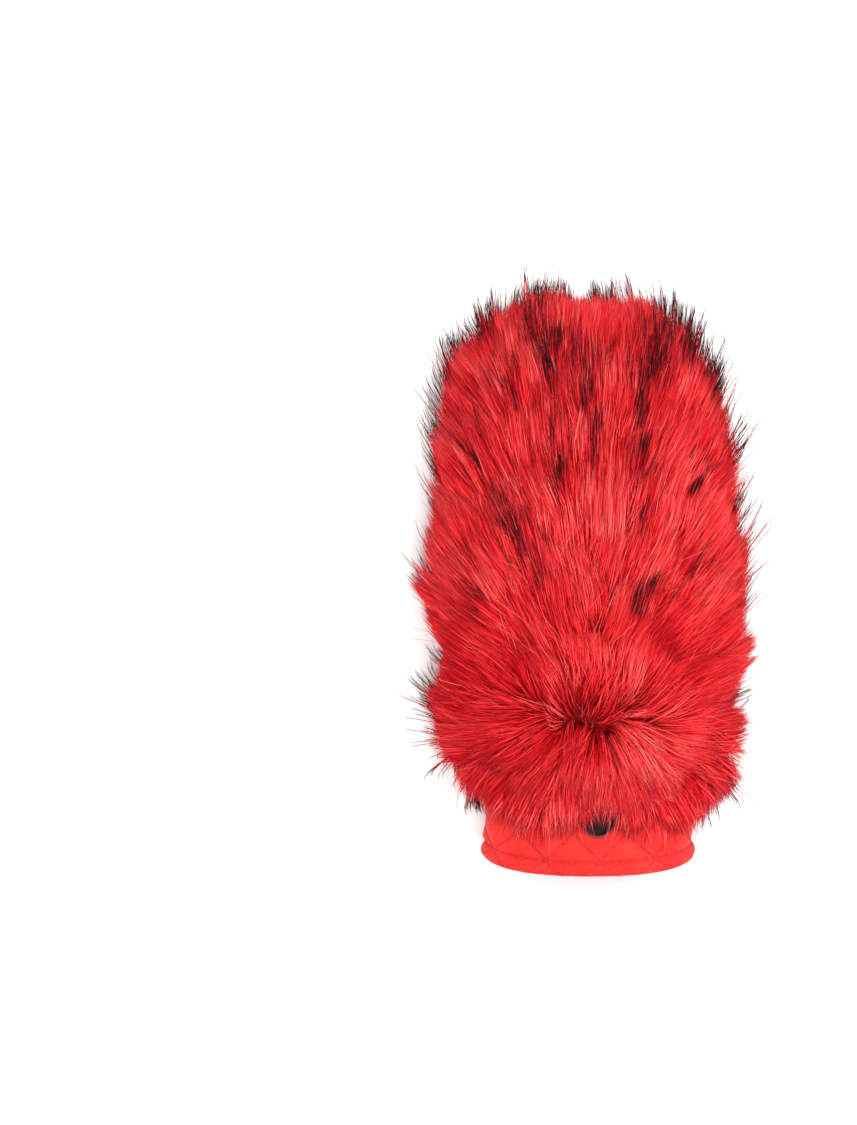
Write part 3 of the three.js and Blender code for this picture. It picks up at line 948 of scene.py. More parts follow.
def gather(tree, points, guides, pull, left):
    # draws each path towards that of the nearest guide, more at its tip, where this much of the gap is left
    apart = vectorMaths(tree, "SUBTRACT", position(tree), fromNearest(tree, guides, "root"))
    for name, share, gap in (("middle", *strands["middlePull"]), ("tip", 1, left)):
        goal = vectorTotal(tree, fromNearest(tree, guides, name), scaled(tree, apart, gap))
        own = named(tree, name, "FLOAT_VECTOR")
        moved = scaled(tree, vectorMaths(tree, "SUBTRACT", goal, own), product(tree, pull, share))
        points = stored(tree, points, name, vectorTotal(tree, own, moved))
    return points


def nearTuft(tree, roots, reach):
    inputs = {0: shapeOf(tree, roots), "Source Position": position(tree)}
    near = addNode(tree, "GeometryNodeProximity", inputs, target_element="POINTS")
    return maths(tree, "LESS_THAN", near.outputs["Distance"], reach)


def scattered(tree, skin, method, inputs):
    # points on the skin, and the skin's direction at each
    inputs = {"Mesh": skin, **inputs}
    made = addNode(tree, "GeometryNodeDistributePointsOnFaces", inputs, distribute_method=method)
    return made.outputs["Points"], made.outputs["Normal"]


def scatteredGuides(tree, skin, spacing, path):
    inputs = {"Distance Min": spacing, "Density Max": path["densest"], "Seed": path["rootSeed"]}
    roots, normal = scattered(tree, skin, "POISSON", inputs)
    return storePath(tree, roots, normal, path)


def within(tree, given):
    height = separated(tree, position(tree))["Y"]
    above = maths(tree, "GREATER_THAN", height, given["From Y"])
    return product(tree, above, maths(tree, "LESS_THAN", height, given["To Y"]))


def guidedTone(tree, guides, path):
    # partly the tone of the nearest guide, and partly chance
    fromGuide, chance = path["tone"]
    guide = product(tree, fromNearest(tree, guides, "tone", "FLOAT"), fromGuide)
    return total(tree, guide, rolled(tree, 0, chance, path["toneSeed"]))


def placeStrands(tree, roots, given):
    placed = placedOn(tree, roots, shapeOf(tree, given["Needle"]))
    hair = addNode(tree, "GeometryNodeRealizeInstances", {"Geometry": placed}).outputs[0]
    endGeometryTree(tree, bendNeedles(tree, hair, given["Thickness"]), given["Material"])


def makeFurTree():
    tree, given = newGeometryTree("fur", {
        **hairSockets,
        "Lock Spacing": "Float",
        "Wisp Spacing": "Float",
        "Wisp Pull": "Float",
    })
    skin = given["Geometry"]
    locks = scatteredGuides(tree, skin, given["Lock Spacing"], paths["lock"])
    locks = stored(tree, locks, "tone", rolled(tree, 0, 1, paths["lock"]["toneSeed"]), "FLOAT")
    path = paths["wisp"]
    lock = named(tree, "lock")
    left = total(tree, product(tree, lock, path["locked"]), path["loose"])
    wisps = scatteredGuides(tree, skin, given["Wisp Spacing"], path)
    pull = product(tree, lock, rolled(tree, *path["pull"], path["pullSeed"]))
    wisps = gather(tree, wisps, locks, pull, left)
    wisps = stored(tree, wisps, "tone", guidedTone(tree, locks, path), "FLOAT")

    path = paths["strand"]
    wanted = product(tree, within(tree, given), given["Density"], named(tree, "thick"))
    roots, normal = scattered(tree, skin, "RANDOM", {"Density": wanted, "Seed": path["rootSeed"]})
    leads = shapeOf(tree, given["Tufts"])
    size = fromNearest(tree, leads, "size", "FLOAT")
    spread = rolled(tree, *tufts["reachSpread"], paths["tuft"]["reachSeed"])
    isNear = nearTuft(tree, given["Tufts"], product(tree, given["Tuft Reach"], spread, size))
    roots = stored(tree, roots, "tuft", isNear, "FLOAT")
    roots = storePath(tree, roots, normal, path)
    pull = product(tree, given["Wisp Pull"], rolled(tree, *path["pull"], path["pullSeed"]))
    roots = gather(tree, roots, wisps, pull, path["left"])
    # the tone is darkened or lightened by the painted light and shade of the shade spots
    plain = product(tree, guidedTone(tree, wisps, path), named(tree, "shade"))

    path = paths["tuft"]
    leads = stored(tree, leads, "tuft", 1.0, "FLOAT")
    leads = storePath(tree, leads, named(tree, "normalWay", "FLOAT_VECTOR"), path)
    roots = gather(tree, roots, leads, product(tree, named(tree, "tuft"), tufts["pull"]), path["left"])
    plain = product(tree, maths(tree, "MINIMUM", plain, 1.0), strands["darkTones"] - strands["toneGap"])
    dark = rolled(tree, strands["darkTones"] + strands["toneGap"], strands["darkest"], path["toneSeed"])
    inputs = {"Factor": named(tree, "tuft"), 2: plain, 3: dark}
    tone = addNode(tree, "ShaderNodeMix", inputs, data_type="FLOAT").outputs[0]
    placeStrands(tree, stored(tree, roots, "tone", tone, "FLOAT"), given)
    return tree


def makeLooseTree():
    tree, given = newGeometryTree("loose hairs", {
        **hairSockets,
        "Longer": "Float",
        "Turn": "Float",
        "Flatter": "Float",
        "Low Tone": "Float",
        "High Tone": "Float",
        "Seed": "Int",
    })
    isNear = nearTuft(tree, given["Tufts"], given["Tuft Reach"])
    wanted = product(tree, isNear, within(tree, given), given["Density"], named(tree, "thick"))
    roots, normal = scattered(tree, given["Geometry"], "RANDOM", {"Density": wanted, "Seed": given["Seed"]})
    raised = product(tree, separated(tree, normal)["Z"], given["Flatter"], -1.0)
    path = paths["looseHair"]
    roots = storePath(tree, roots, normal, {**path, "turn": given["Turn"]}, given["Longer"], raised)
    tone = rolled(tree, given["Low Tone"], given["High Tone"], path["toneSeed"])
    placeStrands(tree, stored(tree, roots, "tone", tone, "FLOAT"), given)
    return tree


def heightOver(tree, axes):
    # the lowest that hair may lie: over the floor, and where it hangs past the wrist over cuff and badge
    low = -hand["sag"]
    belt = low + hand["beltShare"] * (cuff["crown"] - low)
    top = cuff["crown"] + cuff["puff"] + strands["overCuff"]
    across = maths(tree, "SUBTRACT", axes["X"], cuff["middleX"])
    across = maths(tree, "DIVIDE", maths(tree, "ABSOLUTE", across), cuff["halfWidth"] + cuff["puff"])
    pastWrist = maths(tree, "LESS_THAN", axes["Y"], cuff["wristY"])
    onCuff = product(tree, pastWrist, maths(tree, "LESS_THAN", across, 1.0))
    rise = maths(tree, "SUBTRACT", 1.0, maths(tree, "POWER", across, hand["crownPower"]), clamp=True)
    rise = maths(tree, "POWER", rise, 1 / hand["crownPower"])
    overCuff = product(tree, onCuff, total(tree, product(tree, rise, top - belt), belt))
    spot = combined(tree, axes["X"], axes["Y"])
    away = vectorMaths(tree, "DISTANCE", spot, (badge["x"], badge["y"], 0))
    onBadge = maths(tree, "LESS_THAN", away, badge["radius"] + strands["overCuff"])
    overBadge = product(tree, onBadge, badge["base"] + badge["rimHeight"] + strands["overCuff"])
    return maths(tree, "MAXIMUM", maths(tree, "MAXIMUM", overCuff, overBadge), strands["floorHeight"])


def bendNeedles(tree, hair, thickness):
    # each corner goes to its place along the bent path and round it
    along = named(tree, "along")
    back = maths(tree, "SUBTRACT", 1.0, along)
    root, middle, tip, normal = [
        named(tree, name, "FLOAT_VECTOR") for name in ("root", "middle", "tip", "normalWay")
    ]
    place = vectorTotal(
        tree,
        scaled(tree, root, product(tree, back, back)),
        scaled(tree, middle, product(tree, back, along, 2.0)),
        scaled(tree, tip, product(tree, along, along)),
    )
    first = scaled(tree, vectorMaths(tree, "SUBTRACT", middle, root), back)
    second = scaled(tree, vectorMaths(tree, "SUBTRACT", tip, middle), along)
    heading = vectorTotal(tree, first, second)
    side = vectorMaths(tree, "NORMALIZE", vectorMaths(tree, "CROSS_PRODUCT", heading, normal))
    up = vectorMaths(tree, "NORMALIZE", vectorMaths(tree, "CROSS_PRODUCT", heading, side))
    turn = named(tree, "turn")
    sideways = scaled(tree, side, maths(tree, "COSINE", turn))
    upward = scaled(tree, up, maths(tree, "SINE", turn))
    radius = product(tree, thickness, 0.5, named(tree, "girth"))
    axes = separated(tree, place)
    lifted = maths(tree, "MAXIMUM", axes["Z"], heightOver(tree, axes))
    place = combined(tree, axes["X"], axes["Y"], lifted)
    place = vectorTotal(tree, place, scaled(tree, vectorTotal(tree, sideways, upward), radius))
    hair = addNode(tree, "GeometryNodeSetPosition", {"Geometry": hair, "Position": place}).outputs[0]
    return stored(tree, hair, "OFBake", mapPlace(tree, along), "FLOAT2", "CORNER")


def mapPlace(tree, along):
    # the map has one column for each tone, and runs up along the strand
    tones = float(strands["tones"])
    column = maths(tree, "FLOOR", product(tree, named(tree, "tone"), tones))
    across = total(tree, column, product(tree, named(tree, "column"), strands["toneWidth"]), 0.5)
    margin = strands["mapMargin"]
    upward = total(tree, product(tree, along, 1 - 2 * margin), margin)
    return combined(tree, maths(tree, "DIVIDE", across, tones), upward)


def furMaterial():
    material, tree, shader = newMaterial("red pile")
    spot = addNode(tree, "ShaderNodeUVMap", uv_map="OFBake").outputs[0]
    tone, along, _ = separated(tree, spot)
    body = addRamp(tree, tone, pileColors["body"])
    # the colour is multiplied by the painted shade towards each strand's root
    color = mixedColor(tree, 1.0, body, addRamp(tree, along, pileColors["rootShade"]), "MULTIPLY")
    start = mapped(tree, tone, strands["darkTones"], 1.0, *pileColors["darkFrom"], "LINEAR")
    darkened = mapped(tree, along, start, total(tree, start, pileColors["darkFade"]))
    darkened = product(tree, darkened, maths(tree, "GREATER_THAN", tone, strands["darkTones"]))
    color = mixedColor(tree, darkened, color, addRamp(tree, tone, pileColors["ends"]))
    setInputs(tree, shader, {
        "Base Color": color,
        "Roughness": pileColors["roughness"],
        "Specular IOR Level": pileColors["specular"],
    })
    return material


def regionArea(skin, fromY, toY):
    return sum(face.area for face in skin.data.polygons if fromY < face.center.y < toY)


def makeFur():
    skin, tuftRoots = makeSkin()
    needle = makeNeedle(strands["rings"])
    shared = {"Tufts": tuftRoots, "Material": furMaterial()}
    made = []
    tree = makeFurTree()
    for piece in furPieces:
        made.append(growFrom(skin, tree, {
            **shared,
            "Needle": needle,
            "Tuft Reach": tufts["reach"],
            "Density": piece["strands"] / regionArea(skin, piece["fromY"], piece["toY"]),
            "From Y": piece["fromY"],
            "To Y": piece["toY"],
            "Lock Spacing": strands["lockSpacing"],
            "Wisp Spacing": strands["wispSpacing"],
            "Wisp Pull": strands["wispPull"],
            "Thickness": strands["thickness"],
        }, piece["name"]))
    discard(needle)
    tree = makeLooseTree()
    for piece in looseHairs:
        aroundTufts = len(tuftRoots.data.vertices) * math.pi * piece["reach"] ** 2
        area = min(regionArea(skin, piece["fromY"], piece["toY"]), aroundTufts)
        needle = makeNeedle(piece["rings"])
        made.append(growFrom(skin, tree, {
            **shared,
            "Needle": needle,
            "Tuft Reach": float(piece["reach"]),
            "Density": piece["count"] / area,
            "From Y": piece["fromY"],
            "To Y": piece["toY"],
            "Longer": piece["longer"],
            "Turn": piece["turn"],
            "Flatter": piece["flatter"],
            "Thickness": piece["thickness"],
            "Low Tone": piece["tones"][0],
            "High Tone": piece["tones"][1],
            "Seed": piece["seed"],
        }, piece["name"]))
        discard(needle)
    for hair in made:
        print(hair.name, "faces", len(hair.data.polygons))
        dress(hair, "faux_fur", "fur_pelt")
    discard(tuftRoots, skin)


# The cuff

cuff = {
    "wristY": -0.0923,
    "middleX": -0.0008,
    "halfWidth": 0.0504,
    "crown": 0.036,
    "padding": 0.0026,
    "hemY": -0.1275,  # hem at the two sides
    "crownDrop": 0.0075,  # how much further it reaches over the back of the wrist
    "bellyDrop": 0.002,
    "dropPower": 1.0,
    "hemDepth": 0.0075,
    "flare": 0.0012,  # how far the quilt widens towards the hem
    "hemRoll": 0.0020,
    "hemCurve": [(0, 0), (0.25, 0.7), (0.6, 1), (0.9, 0.6), (1, -0.2)],  # depth, swell
    "hemRows": 15,
    "hemStart": 0.06,  # depth of the first of them, as a share
    "hemStitches": 0.3,  # the hem's seam lies this far below the last quilt row, in quilt rows
    "hemEdge": {"depth": 0.98, "inwards": 0.6, "floorHeight": 0.0008},  # where the cloth turns inside
    "insideDepths": (0.85, 0.45),  # rows of the cuff's inside within the hem
    "insideRows": 9,  # and from there to the wrist
    "cells": 9,  # quilted diamonds round the cuff
    "cellSteps": 24,
    "cellRows": 32,  # rows of faces between the wrist and the hem's stitches
    "rowsPerCell": 24,
    "quiltRow": 0.00085,  # height of a quilt row, to carry its seams on over the hem
    "turn": 1 / 6,  # from the crown to a diamond's corner, in cells
    "puff": 0.0015,
    "pillowPower": 0.62,
    "hemPinch": 0.0035,  # the puff fades out this far above the hem's stitches
    "floorHeight": 0.0003,
    "seamWidth": 0.0019,  # how far a seam's puckers reach
    "thread": 0.0007,  # from thread to thread of the weave
    "weaveDepth": 0.00014,
    "folds": 420.0,
    "pucker": -9.0,
    "pressed": 0.7,  # painted shade: how much darker the puckers along a seam are painted
    "pressedColor": (0.26, 0.003, 0.005, 1),
    "patches": 60.0,
    "colors": [
        (0.3, (0.42, 0.004, 0.005)),
        (0.5, (0.60, 0.014, 0.011)),
        (0.7, (0.74, 0.034, 0.026)),
    ],
    "roughness": 0.58,
    "specular": 0.16,
    "sheen": 0.06,
}

# cloth seen close up: crossed threads with a finer unevenness, in broader patches of colour
grain = {
    "fine": 900.0,
    "fineDetail": 3.0,
    "weave": 0.5,
    "strength": 0.7,
    "patchDetail": 4.0,
    "shares": (0.6, 0.4),  # of the patches and of the finer unevenness in the colour
}

badge = {
    "x": 0.0027,
    "y": -0.1074,
    "base": 0.0363,
    "radius": 0.0086,
    "rimWidth": 0.0014,
    "rimHeight": 0.002,
    "plateHeight": 0.0012,
    "bevel": 0.00035,
    "sides": 96,
    "bed": (0.011, 0.015),  # the quilt's puff fades out between these radii
    "foot": [(0, 0.5), (0.3, 0.1), (1, 0)],  # where rim meets plate: inwards and up, in bevels
    "dome": [(0.6, 0.00004), (0, 0.00006)],  # share of the plate's radius, height over its edge
    "wearAndGlint": 0.5,  # how much lighter the rim is: partly wear and partly a painted highlight
    "wearAndGlintWidth": 1.1,  # in widths of the rim
    "speckles": 700.0,
    "speckle": 0.35,
    "colors": [
        (0.1, (0.017, 0.010, 0.010)),
        (0.5, (0.042, 0.027, 0.028)),
        (0.85, (0.17, 0.12, 0.12)),
    ],
    "roughness": (0.28, 0.45),
}


def cuffRing(swell, floorHeight):
    section = {
        "middleX": cuff["middleX"],
        "halfWidth": cuff["halfWidth"] + swell,
        "high": cuff["crown"] + swell,
        "low": -hand["sag"] - swell,
        "floor": floorHeight,
    }
    angles = math.pi / 2 - np.linspace(0, 2 * math.pi, 1440, endpoint=False)
    return spaced(sectionPoints(section, angles), cuff["cells"] * cuff["cellSteps"], closed=True)


def cuffRow(share=1, depth=0, swell=0, floorHeight=None, puffed=None):
    # one ring of the cuff; each point has its own y, because the hem is curved
    floorHeight = cuff["floorHeight"] if floorHeight is None else floorHeight
    ring = cuffRing(swell, floorHeight)
    upright = 2 * ring[:, 1] / cuff["crown"] - 1
    deepest = np.where(upright > 0, cuff["crownDrop"], cuff["bellyDrop"])
    drop = deepest * np.abs(upright) ** cuff["dropPower"]
    stitchY = cuff["hemY"] - drop + cuff["hemDepth"]
    y = cuff["wristY"] + (stitchY - cuff["wristY"]) * share - depth
    if puffed is not None:
        out = cuffRing(swell + cuff["puff"], floorHeight)
        ring = ring + (out - ring) * puffed(ring[:, 0], y)[:, None]
    return np.column_stack([ring[:, 0], y, ring[:, 1]])


def quiltPlace(row):
    # a row's place in the quilt, in diamonds round the cuff and up from the hem
    steps = np.arange(cuff["cells"] * cuff["cellSteps"])
    return steps / cuff["cellSteps"] - cuff["turn"], (row - cuff["cellRows"]) / cuff["rowsPerCell"]


def quiltPuff(row):
    # from 0 on a stitched line to 1 in a diamond's middle
    cells = cuff["cells"] * cuff["cellSteps"]
    side, up = quiltPlace(row)
    lines = np.abs(np.sin(math.pi * (side + up)) * np.sin(math.pi * (side - up)))
    rowHeight = (cuff["wristY"] - cuff["hemY"] - cuff["hemDepth"]) / cuff["cellRows"]
    lines *= smoothStep((cuff["cellRows"] - row) * rowHeight / cuff["hemPinch"])
    onBack = np.abs((np.arange(cells) / cells + 0.5) % 1 - 0.5) < 0.25

    def puffed(x, y):
        flat, full = badge["bed"]
        away = np.hypot(x - badge["x"], y - badge["y"])
        bed = np.where(onBack, smoothStep((away - flat) / (full - flat)), 1)
        return lines ** cuff["pillowPower"] * bed

    return puffed


def nearSeam(row, cellWidth):
    # 1 on a seam, falling to 0 at its width
    side, up = quiltPlace(row)
    apart = np.minimum(np.abs(side + up - np.round(side + up)), np.abs(side - up - np.round(side - up)))
    apart = apart * cellWidth * math.sqrt(0.5)
    hemApart = abs(row - cuff["cellRows"] - cuff["hemStitches"]) * cellWidth / cuff["rowsPerCell"]
    return np.clip(1 - np.minimum(apart, hemApart) / cuff["seamWidth"], 0, 1)


def hemSwell(depth):
    depths, swells = zip(*cuff["hemCurve"])
    rows = [{"y": d, "swell": w} for d, w in zip(depths, swells)]
    return valueAt(rows, "swell", depth) * cuff["hemRoll"]


def quiltRowsPerHemRow():
    return cuff["hemDepth"] / cuff["hemRows"] / cuff["quiltRow"]


def outerCuffRows():
    rows = []
    for row in range(cuff["cellRows"] + 1):
        share = row / cuff["cellRows"]
        rows.append(cuffRow(share=share, swell=cuff["flare"] * share ** 2, puffed=quiltPuff(row)))
    for depth in np.linspace(cuff["hemStart"], 1, cuff["hemRows"]):
        rows.append(cuffRow(depth=depth * cuff["hemDepth"], swell=cuff["flare"] + hemSwell(depth)))
    return rows


def innerCuffRows():
    edge = cuff["hemEdge"]
    swell = -cuff["hemRoll"] * edge["inwards"]
    rows = [cuffRow(depth=cuff["hemDepth"] * edge["depth"], swell=swell, floorHeight=edge["floorHeight"])]
    inside = {"swell": -cuff["padding"], "floorHeight": cuff["padding"]}
    for depth in cuff["insideDepths"]:
        rows.append(cuffRow(depth=cuff["hemDepth"] * depth, **inside))
    for share in np.linspace(1, 0, cuff["insideRows"]):
        rows.append(cuffRow(share=share, **inside))
    return rows


def girthOf(row):
    return np.linalg.norm(np.diff(row[:, [0, 2]], axis=0), axis=1).sum()


def makeCuff():
    rows = outerCuffRows() + innerCuffRows()
    columns = cuff["cells"] * cuff["cellSteps"]
    faces = gridFaces(len(rows), columns, closed=True)
    last = (len(rows) - 1) * columns
    for column in range(columns):
        after = (column + 1) % columns
        faces.append((last + column, column, after, last + after))
    made = addMesh("quilted_cuff", np.vstack(rows), faces)
    wrapCloth(made, rows, columns)
    cellWidth = girthOf(rows[0]) / cuff["cells"]
    seams = np.zeros((len(rows), columns))
    for row in range(cuff["cellRows"] + cuff["hemRows"] + 1):
        past = max(row - cuff["cellRows"], 0)
        seams[row] = nearSeam(min(row, cuff["cellRows"]) + past * quiltRowsPerHemRow(), cellWidth)
    storeValues(made.data, "seam", seams.ravel())
    made.data.materials.append(quiltedMaterial())
    return made


def wrapCloth(made, rows, columns):
    # the cloth's own map, in metres round and along the cuff
    around = np.linspace(0, 1, columns + 1)
    girth = girthOf(rows[0])
    middles = np.array([row[0] for row in rows])
    along = np.concatenate([[0], np.cumsum(np.linalg.norm(np.diff(middles, axis=0), axis=1))])
    cloth = made.data.uv_layers.new(name="cloth")
    values = np.zeros((len(made.data.loops), 2), np.float32)
    for face in made.data.polygons:
        corners = [made.data.loops[i].vertex_index for i in face.loop_indices]
        wraps = any(c % columns == columns - 1 for c in corners) and any(c % columns == 0 for c in corners)
        for loop, corner in zip(face.loop_indices, corners):
            column = corner % columns
            u = around[columns] if wraps and column == 0 else around[column]
            values[loop] = (u * girth, along[corner // columns])
    cloth.data.foreach_set("uv", values.ravel())


def clothBump(tree, shader, spot, thread, depth, more=0.0):
    # crossed threads, with a little unevenness
    across, along, _ = separated(tree, spot)
    waves = [maths(tree, "SINE", product(tree, axis, 2 * math.pi / thread)) for axis in (across, along)]
    fine = noiseAt(tree, spot, grain["fine"], grain["fineDetail"])[0]
    height = total(tree, product(tree, *waves, grain["weave"]), fine, more)
    setInputs(tree, shader, {"Normal": bumped(tree, height, grain["strength"], depth)})
    return fine


def clothColor(tree, place, patches, fine, colors):
    broad = noiseAt(tree, place, patches, grain["patchDetail"])[0]
    return addRamp(tree, blended(tree, *zip((broad, fine), grain["shares"])), colors)


def quiltedMaterial():
    material, tree, shader = newMaterial("quilted cloth")
    spot = addNode(tree, "ShaderNodeUVMap", uv_map="cloth").outputs[0]
    place = objectPlace(tree)
    seam = addNode(tree, "ShaderNodeAttribute", attribute_name="seam").outputs["Fac"]
    folds = noiseAt(tree, place, cuff["folds"], 2.0)[0]
    puckers = product(tree, folds, seam, seam, cuff["pucker"])
    fine = clothBump(tree, shader, spot, cuff["thread"], cuff["weaveDepth"], puckers)
    color = clothColor(tree, place, cuff["patches"], fine, cuff["colors"])
    # painted shade in the puckers along the seams
    pressed = product(tree, seam, seam, folds, cuff["pressed"], clamp=True)
    setInputs(tree, shader, {
        "Base Color": mixedColor(tree, pressed, color, cuff["pressedColor"]),
        "Roughness": cuff["roughness"],
        "Specular IOR Level": cuff["specular"],
        "Sheen Weight": cuff["sheen"],
    })
    return material


# Stitches, laid along lines by Geometry Nodes

stitches = {
    "quiltPitch": 0.0024,
    "quiltLength": 0.0016,
    "hemPitch": 0.0026,
    "hemLength": 0.0018,
    "thickness": 0.00036,
    "sink": 0.00012,  # how deep they lie in the cloth
    "rings": [(-0.5, 0), (-0.42, 0.55), (-0.15, 1), (0.15, 1), (0.42, 0.55), (0.5, 0)],  # along, girth
    "sides": 6,
    "wobble": 0.1,  # how far they turn off their line, in radians
    "wobbleSeed": 61,
    "lengths": (0.85, 1.1),
    "lengthSeed": 62,
    "ontoHem": 0.85,  # how far the quilt's lines run on over the hem
    "lineSteps": 90,
    "color": (0.52, 0.010, 0.013),
    "darker": 0.6,
    "twist": 1400.0,
    "twistStrength": 0.5,
    "twistDepth": 0.0001,
    "roughness": 0.6,
}


def makeStitchShape():
    # a short thread, 1 long, which bulges in its middle
    rings, sides = stitches["rings"], stitches["sides"]
    points = [(rings[0][0], 0, 0)]
    for along, girth in rings[1:-1]:
        for side in range(sides):
            angle = 2 * math.pi * side / sides
            points.append((along, girth * math.cos(angle) / 2, girth * math.sin(angle) / 2))
    points.append((rings[-1][0], 0, 0))
    return addMesh("stitch_shape", points, spindleFaces(len(rings), sides))


def makeStitchTree():
    tree, given = newGeometryTree("stitches", {
        "Stitch": "Object",
        "Pitch": "Float",
        "Length": "Float",
        "Thickness": "Float",
        "Sink": "Float",
        "Material": "Material",
    })
    line = addNode(tree, "GeometryNodeMeshToCurve", {"Mesh": given["Geometry"]}).outputs[0]
    inputs = {"Curve": line, "Length": given["Pitch"]}
    line = addNode(tree, "GeometryNodeResampleCurve", inputs, mode="LENGTH").outputs[0]
    upward = vectorMaths(tree, "NORMALIZE", named(tree, "upward", "FLOAT_VECTOR"))
    wobble = rolled(tree, -stitches["wobble"], stitches["wobble"], stitches["wobbleSeed"])
    heading = turnedRound(tree, tree.nodes.new("GeometryNodeInputTangent").outputs[0], upward, wobble)
    turned = addNode(tree, "FunctionNodeAlignRotationToVector", {"Vector": heading}, axis="X").outputs[0]
    inputs = {"Rotation": turned, "Vector": upward}
    turned = addNode(tree, "FunctionNodeAlignRotationToVector", inputs, axis="Z", pivot_axis="X").outputs[0]
    length = product(tree, given["Length"], rolled(tree, *stitches["lengths"], stitches["lengthSeed"]))
    size = combined(tree, length, given["Thickness"], given["Thickness"])
    offset = scaled(tree, upward, product(tree, given["Sink"], -1.0))
    sunk = addNode(tree, "GeometryNodeSetPosition", {"Geometry": line, "Offset": offset}).outputs[0]
    placed = placedOn(tree, sunk, shapeOf(tree, given["Stitch"]), Rotation=turned, Scale=size)
    endGeometryTree(tree, placed, given["Material"])
    return tree


def threadMaterial():
    material, tree, shader = newMaterial("dark red thread")
    twist = noiseAt(tree, objectPlace(tree), stitches["twist"], 2.0)[0]
    dark = tuple(stitches["darker"] * c for c in stitches["color"])
    setInputs(tree, shader, {
        "Base Color": addRamp(tree, twist, [(0.3, dark), (0.7, stitches["color"])]),
        "Normal": bumped(tree, twist, stitches["twistStrength"], stitches["twistDepth"]),
        "Roughness": stitches["roughness"],
    })
    return material


def addLines(name, lines):
    # polylines with the cloth's direction at each point, for the stitch tree
    points = []
    upward = []
    edges = []
    for line, ups in lines:
        start = len(points)
        points += [tuple(p) for p in line]
        upward += [tuple(u) for u in ups]
        edges += [(start + i, start + i + 1) for i in range(len(line) - 1)]
    mesh = bpy.data.meshes.new(name)
    mesh.from_pydata(points, edges, [])
    storeValues(mesh, "upward", upward)
    made = bpy.data.objects.new(name, mesh)
    scene.collection.objects.link(made)
    return made


class CuffSurface:
    # looks up the cuff's outer surface and its direction at any column and row

    def __init__(self):
        self.grid = np.array(outerCuffRows())

    def at(self, column, row):
        columns = self.grid.shape[1]
        row = min(max(row, 0), len(self.grid) - 1.001)
        r = int(row)
        c = int(math.floor(column)) % columns
        u = column - math.floor(column)
        v = row - r
        a, b = self.grid[r, c], self.grid[r, (c + 1) % columns]
        d, e = self.grid[r + 1, c], self.grid[r + 1, (c + 1) % columns]
        point = (a * (1 - u) + b * u) * (1 - v) + (d * (1 - u) + e * u) * v
        upward = np.cross(b - a + e - d, d - a + e - b)
        return point, upward / np.linalg.norm(upward)


def quiltLines(surface):
    lines = []
    bottom = cuff["cellRows"]
    end = bottom + cuff["hemRows"] * stitches["ontoHem"]
    for cell in range(cuff["cells"]):
        for slant in (-1, 1):
            line = []
            for step in np.linspace(1, end, stitches["lineSteps"]):
                past = max(step - bottom, 0)
                up = (min(step, bottom) - bottom + past * quiltRowsPerHemRow()) / cuff["rowsPerCell"]
                column = (cell + cuff["turn"] + slant * up) * cuff["cellSteps"]
                line.append(surface.at(column, step))
            lines.append(list(zip(*line)))
    return lines


def hemLine(surface):
    columns = cuff["cells"] * cuff["cellSteps"]
    row = cuff["cellRows"] + cuff["hemStitches"]
    return [list(zip(*[surface.at(column, row) for column in np.arange(0, columns + 0.5, 0.5)]))]


def makeStitches():
    surface = CuffSurface()
    shape = makeStitchShape()
    tree = makeStitchTree()
    thread = threadMaterial()
    made = []
    for name, lines, pitch, length in (
        ("quilt_stitches", quiltLines(surface), stitches["quiltPitch"], stitches["quiltLength"]),
        ("hem_stitches", hemLine(surface), stitches["hemPitch"], stitches["hemLength"]),
    ):
        host = addLines(name + "_lines", lines)
        values = {
            "Stitch": shape,
            "Pitch": pitch,
            "Length": length,
            "Thickness": stitches["thickness"],
            "Sink": stitches["sink"],
            "Material": thread,
        }
        piece = growFrom(host, tree, values, name)
        discard(host)
        made.append(piece)
    discard(shape)
    return made


# The badge

def makeBadge():
    # a profile, from the bed's middle over rim and plate to the top's middle, turned about the axis
    r, bevel = badge["radius"], badge["bevel"]
    inner = r - badge["rimWidth"]
    rim, plate = badge["rimHeight"], badge["plateHeight"]
    profile = [(r - bevel, 0)]
    profile += rounded((r, 0), bevel, -90, 0, (-1, 1))
    profile += rounded((r, rim), bevel, 0, 90, (-1, -1))
    profile += rounded((inner, rim), bevel, 90, 180, (1, -1))
    profile += [(inner - bevel * inwards, plate + bevel * up) for inwards, up in badge["foot"]]
    profile += [(inner * share, plate + height) for share, height in badge["dome"]]
    rings = profile[:-1]
    sides = badge["sides"]
    points = []
    for radius, height in rings:
        for side in range(sides):
            angle = 2 * math.pi * side / sides
            x = badge["x"] + radius * math.cos(angle)
            y = badge["y"] + radius * math.sin(angle)
            points.append((x, y, badge["base"] + height))
    low = len(points)
    points.append((badge["x"], badge["y"], badge["base"]))
    points.append((badge["x"], badge["y"], badge["base"] + profile[-1][1]))
    faces = [tuple(reversed(f)) for f in gridFaces(len(rings), sides, closed=True)]
    faces += [(low, (side + 1) % sides, side) for side in range(sides)]
    top = (len(rings) - 1) * sides
    faces += [(low + 1, top + side, top + (side + 1) % sides) for side in range(sides)]
    made = addMesh("round_badge", points, faces)
    made.data.materials.append(gunmetalMaterial())
    return made


def rounded(corner, radius, start, end, inward):
    # a bevel's arc, round a centre that lies inward of the corner
    middle = (corner[0] + inward[0] * radius, corner[1] + inward[1] * radius)
    angles = np.radians(np.linspace(start, end, 6))
    return [(middle[0] + radius * math.cos(a), middle[1] + radius * math.sin(a)) for a in angles]


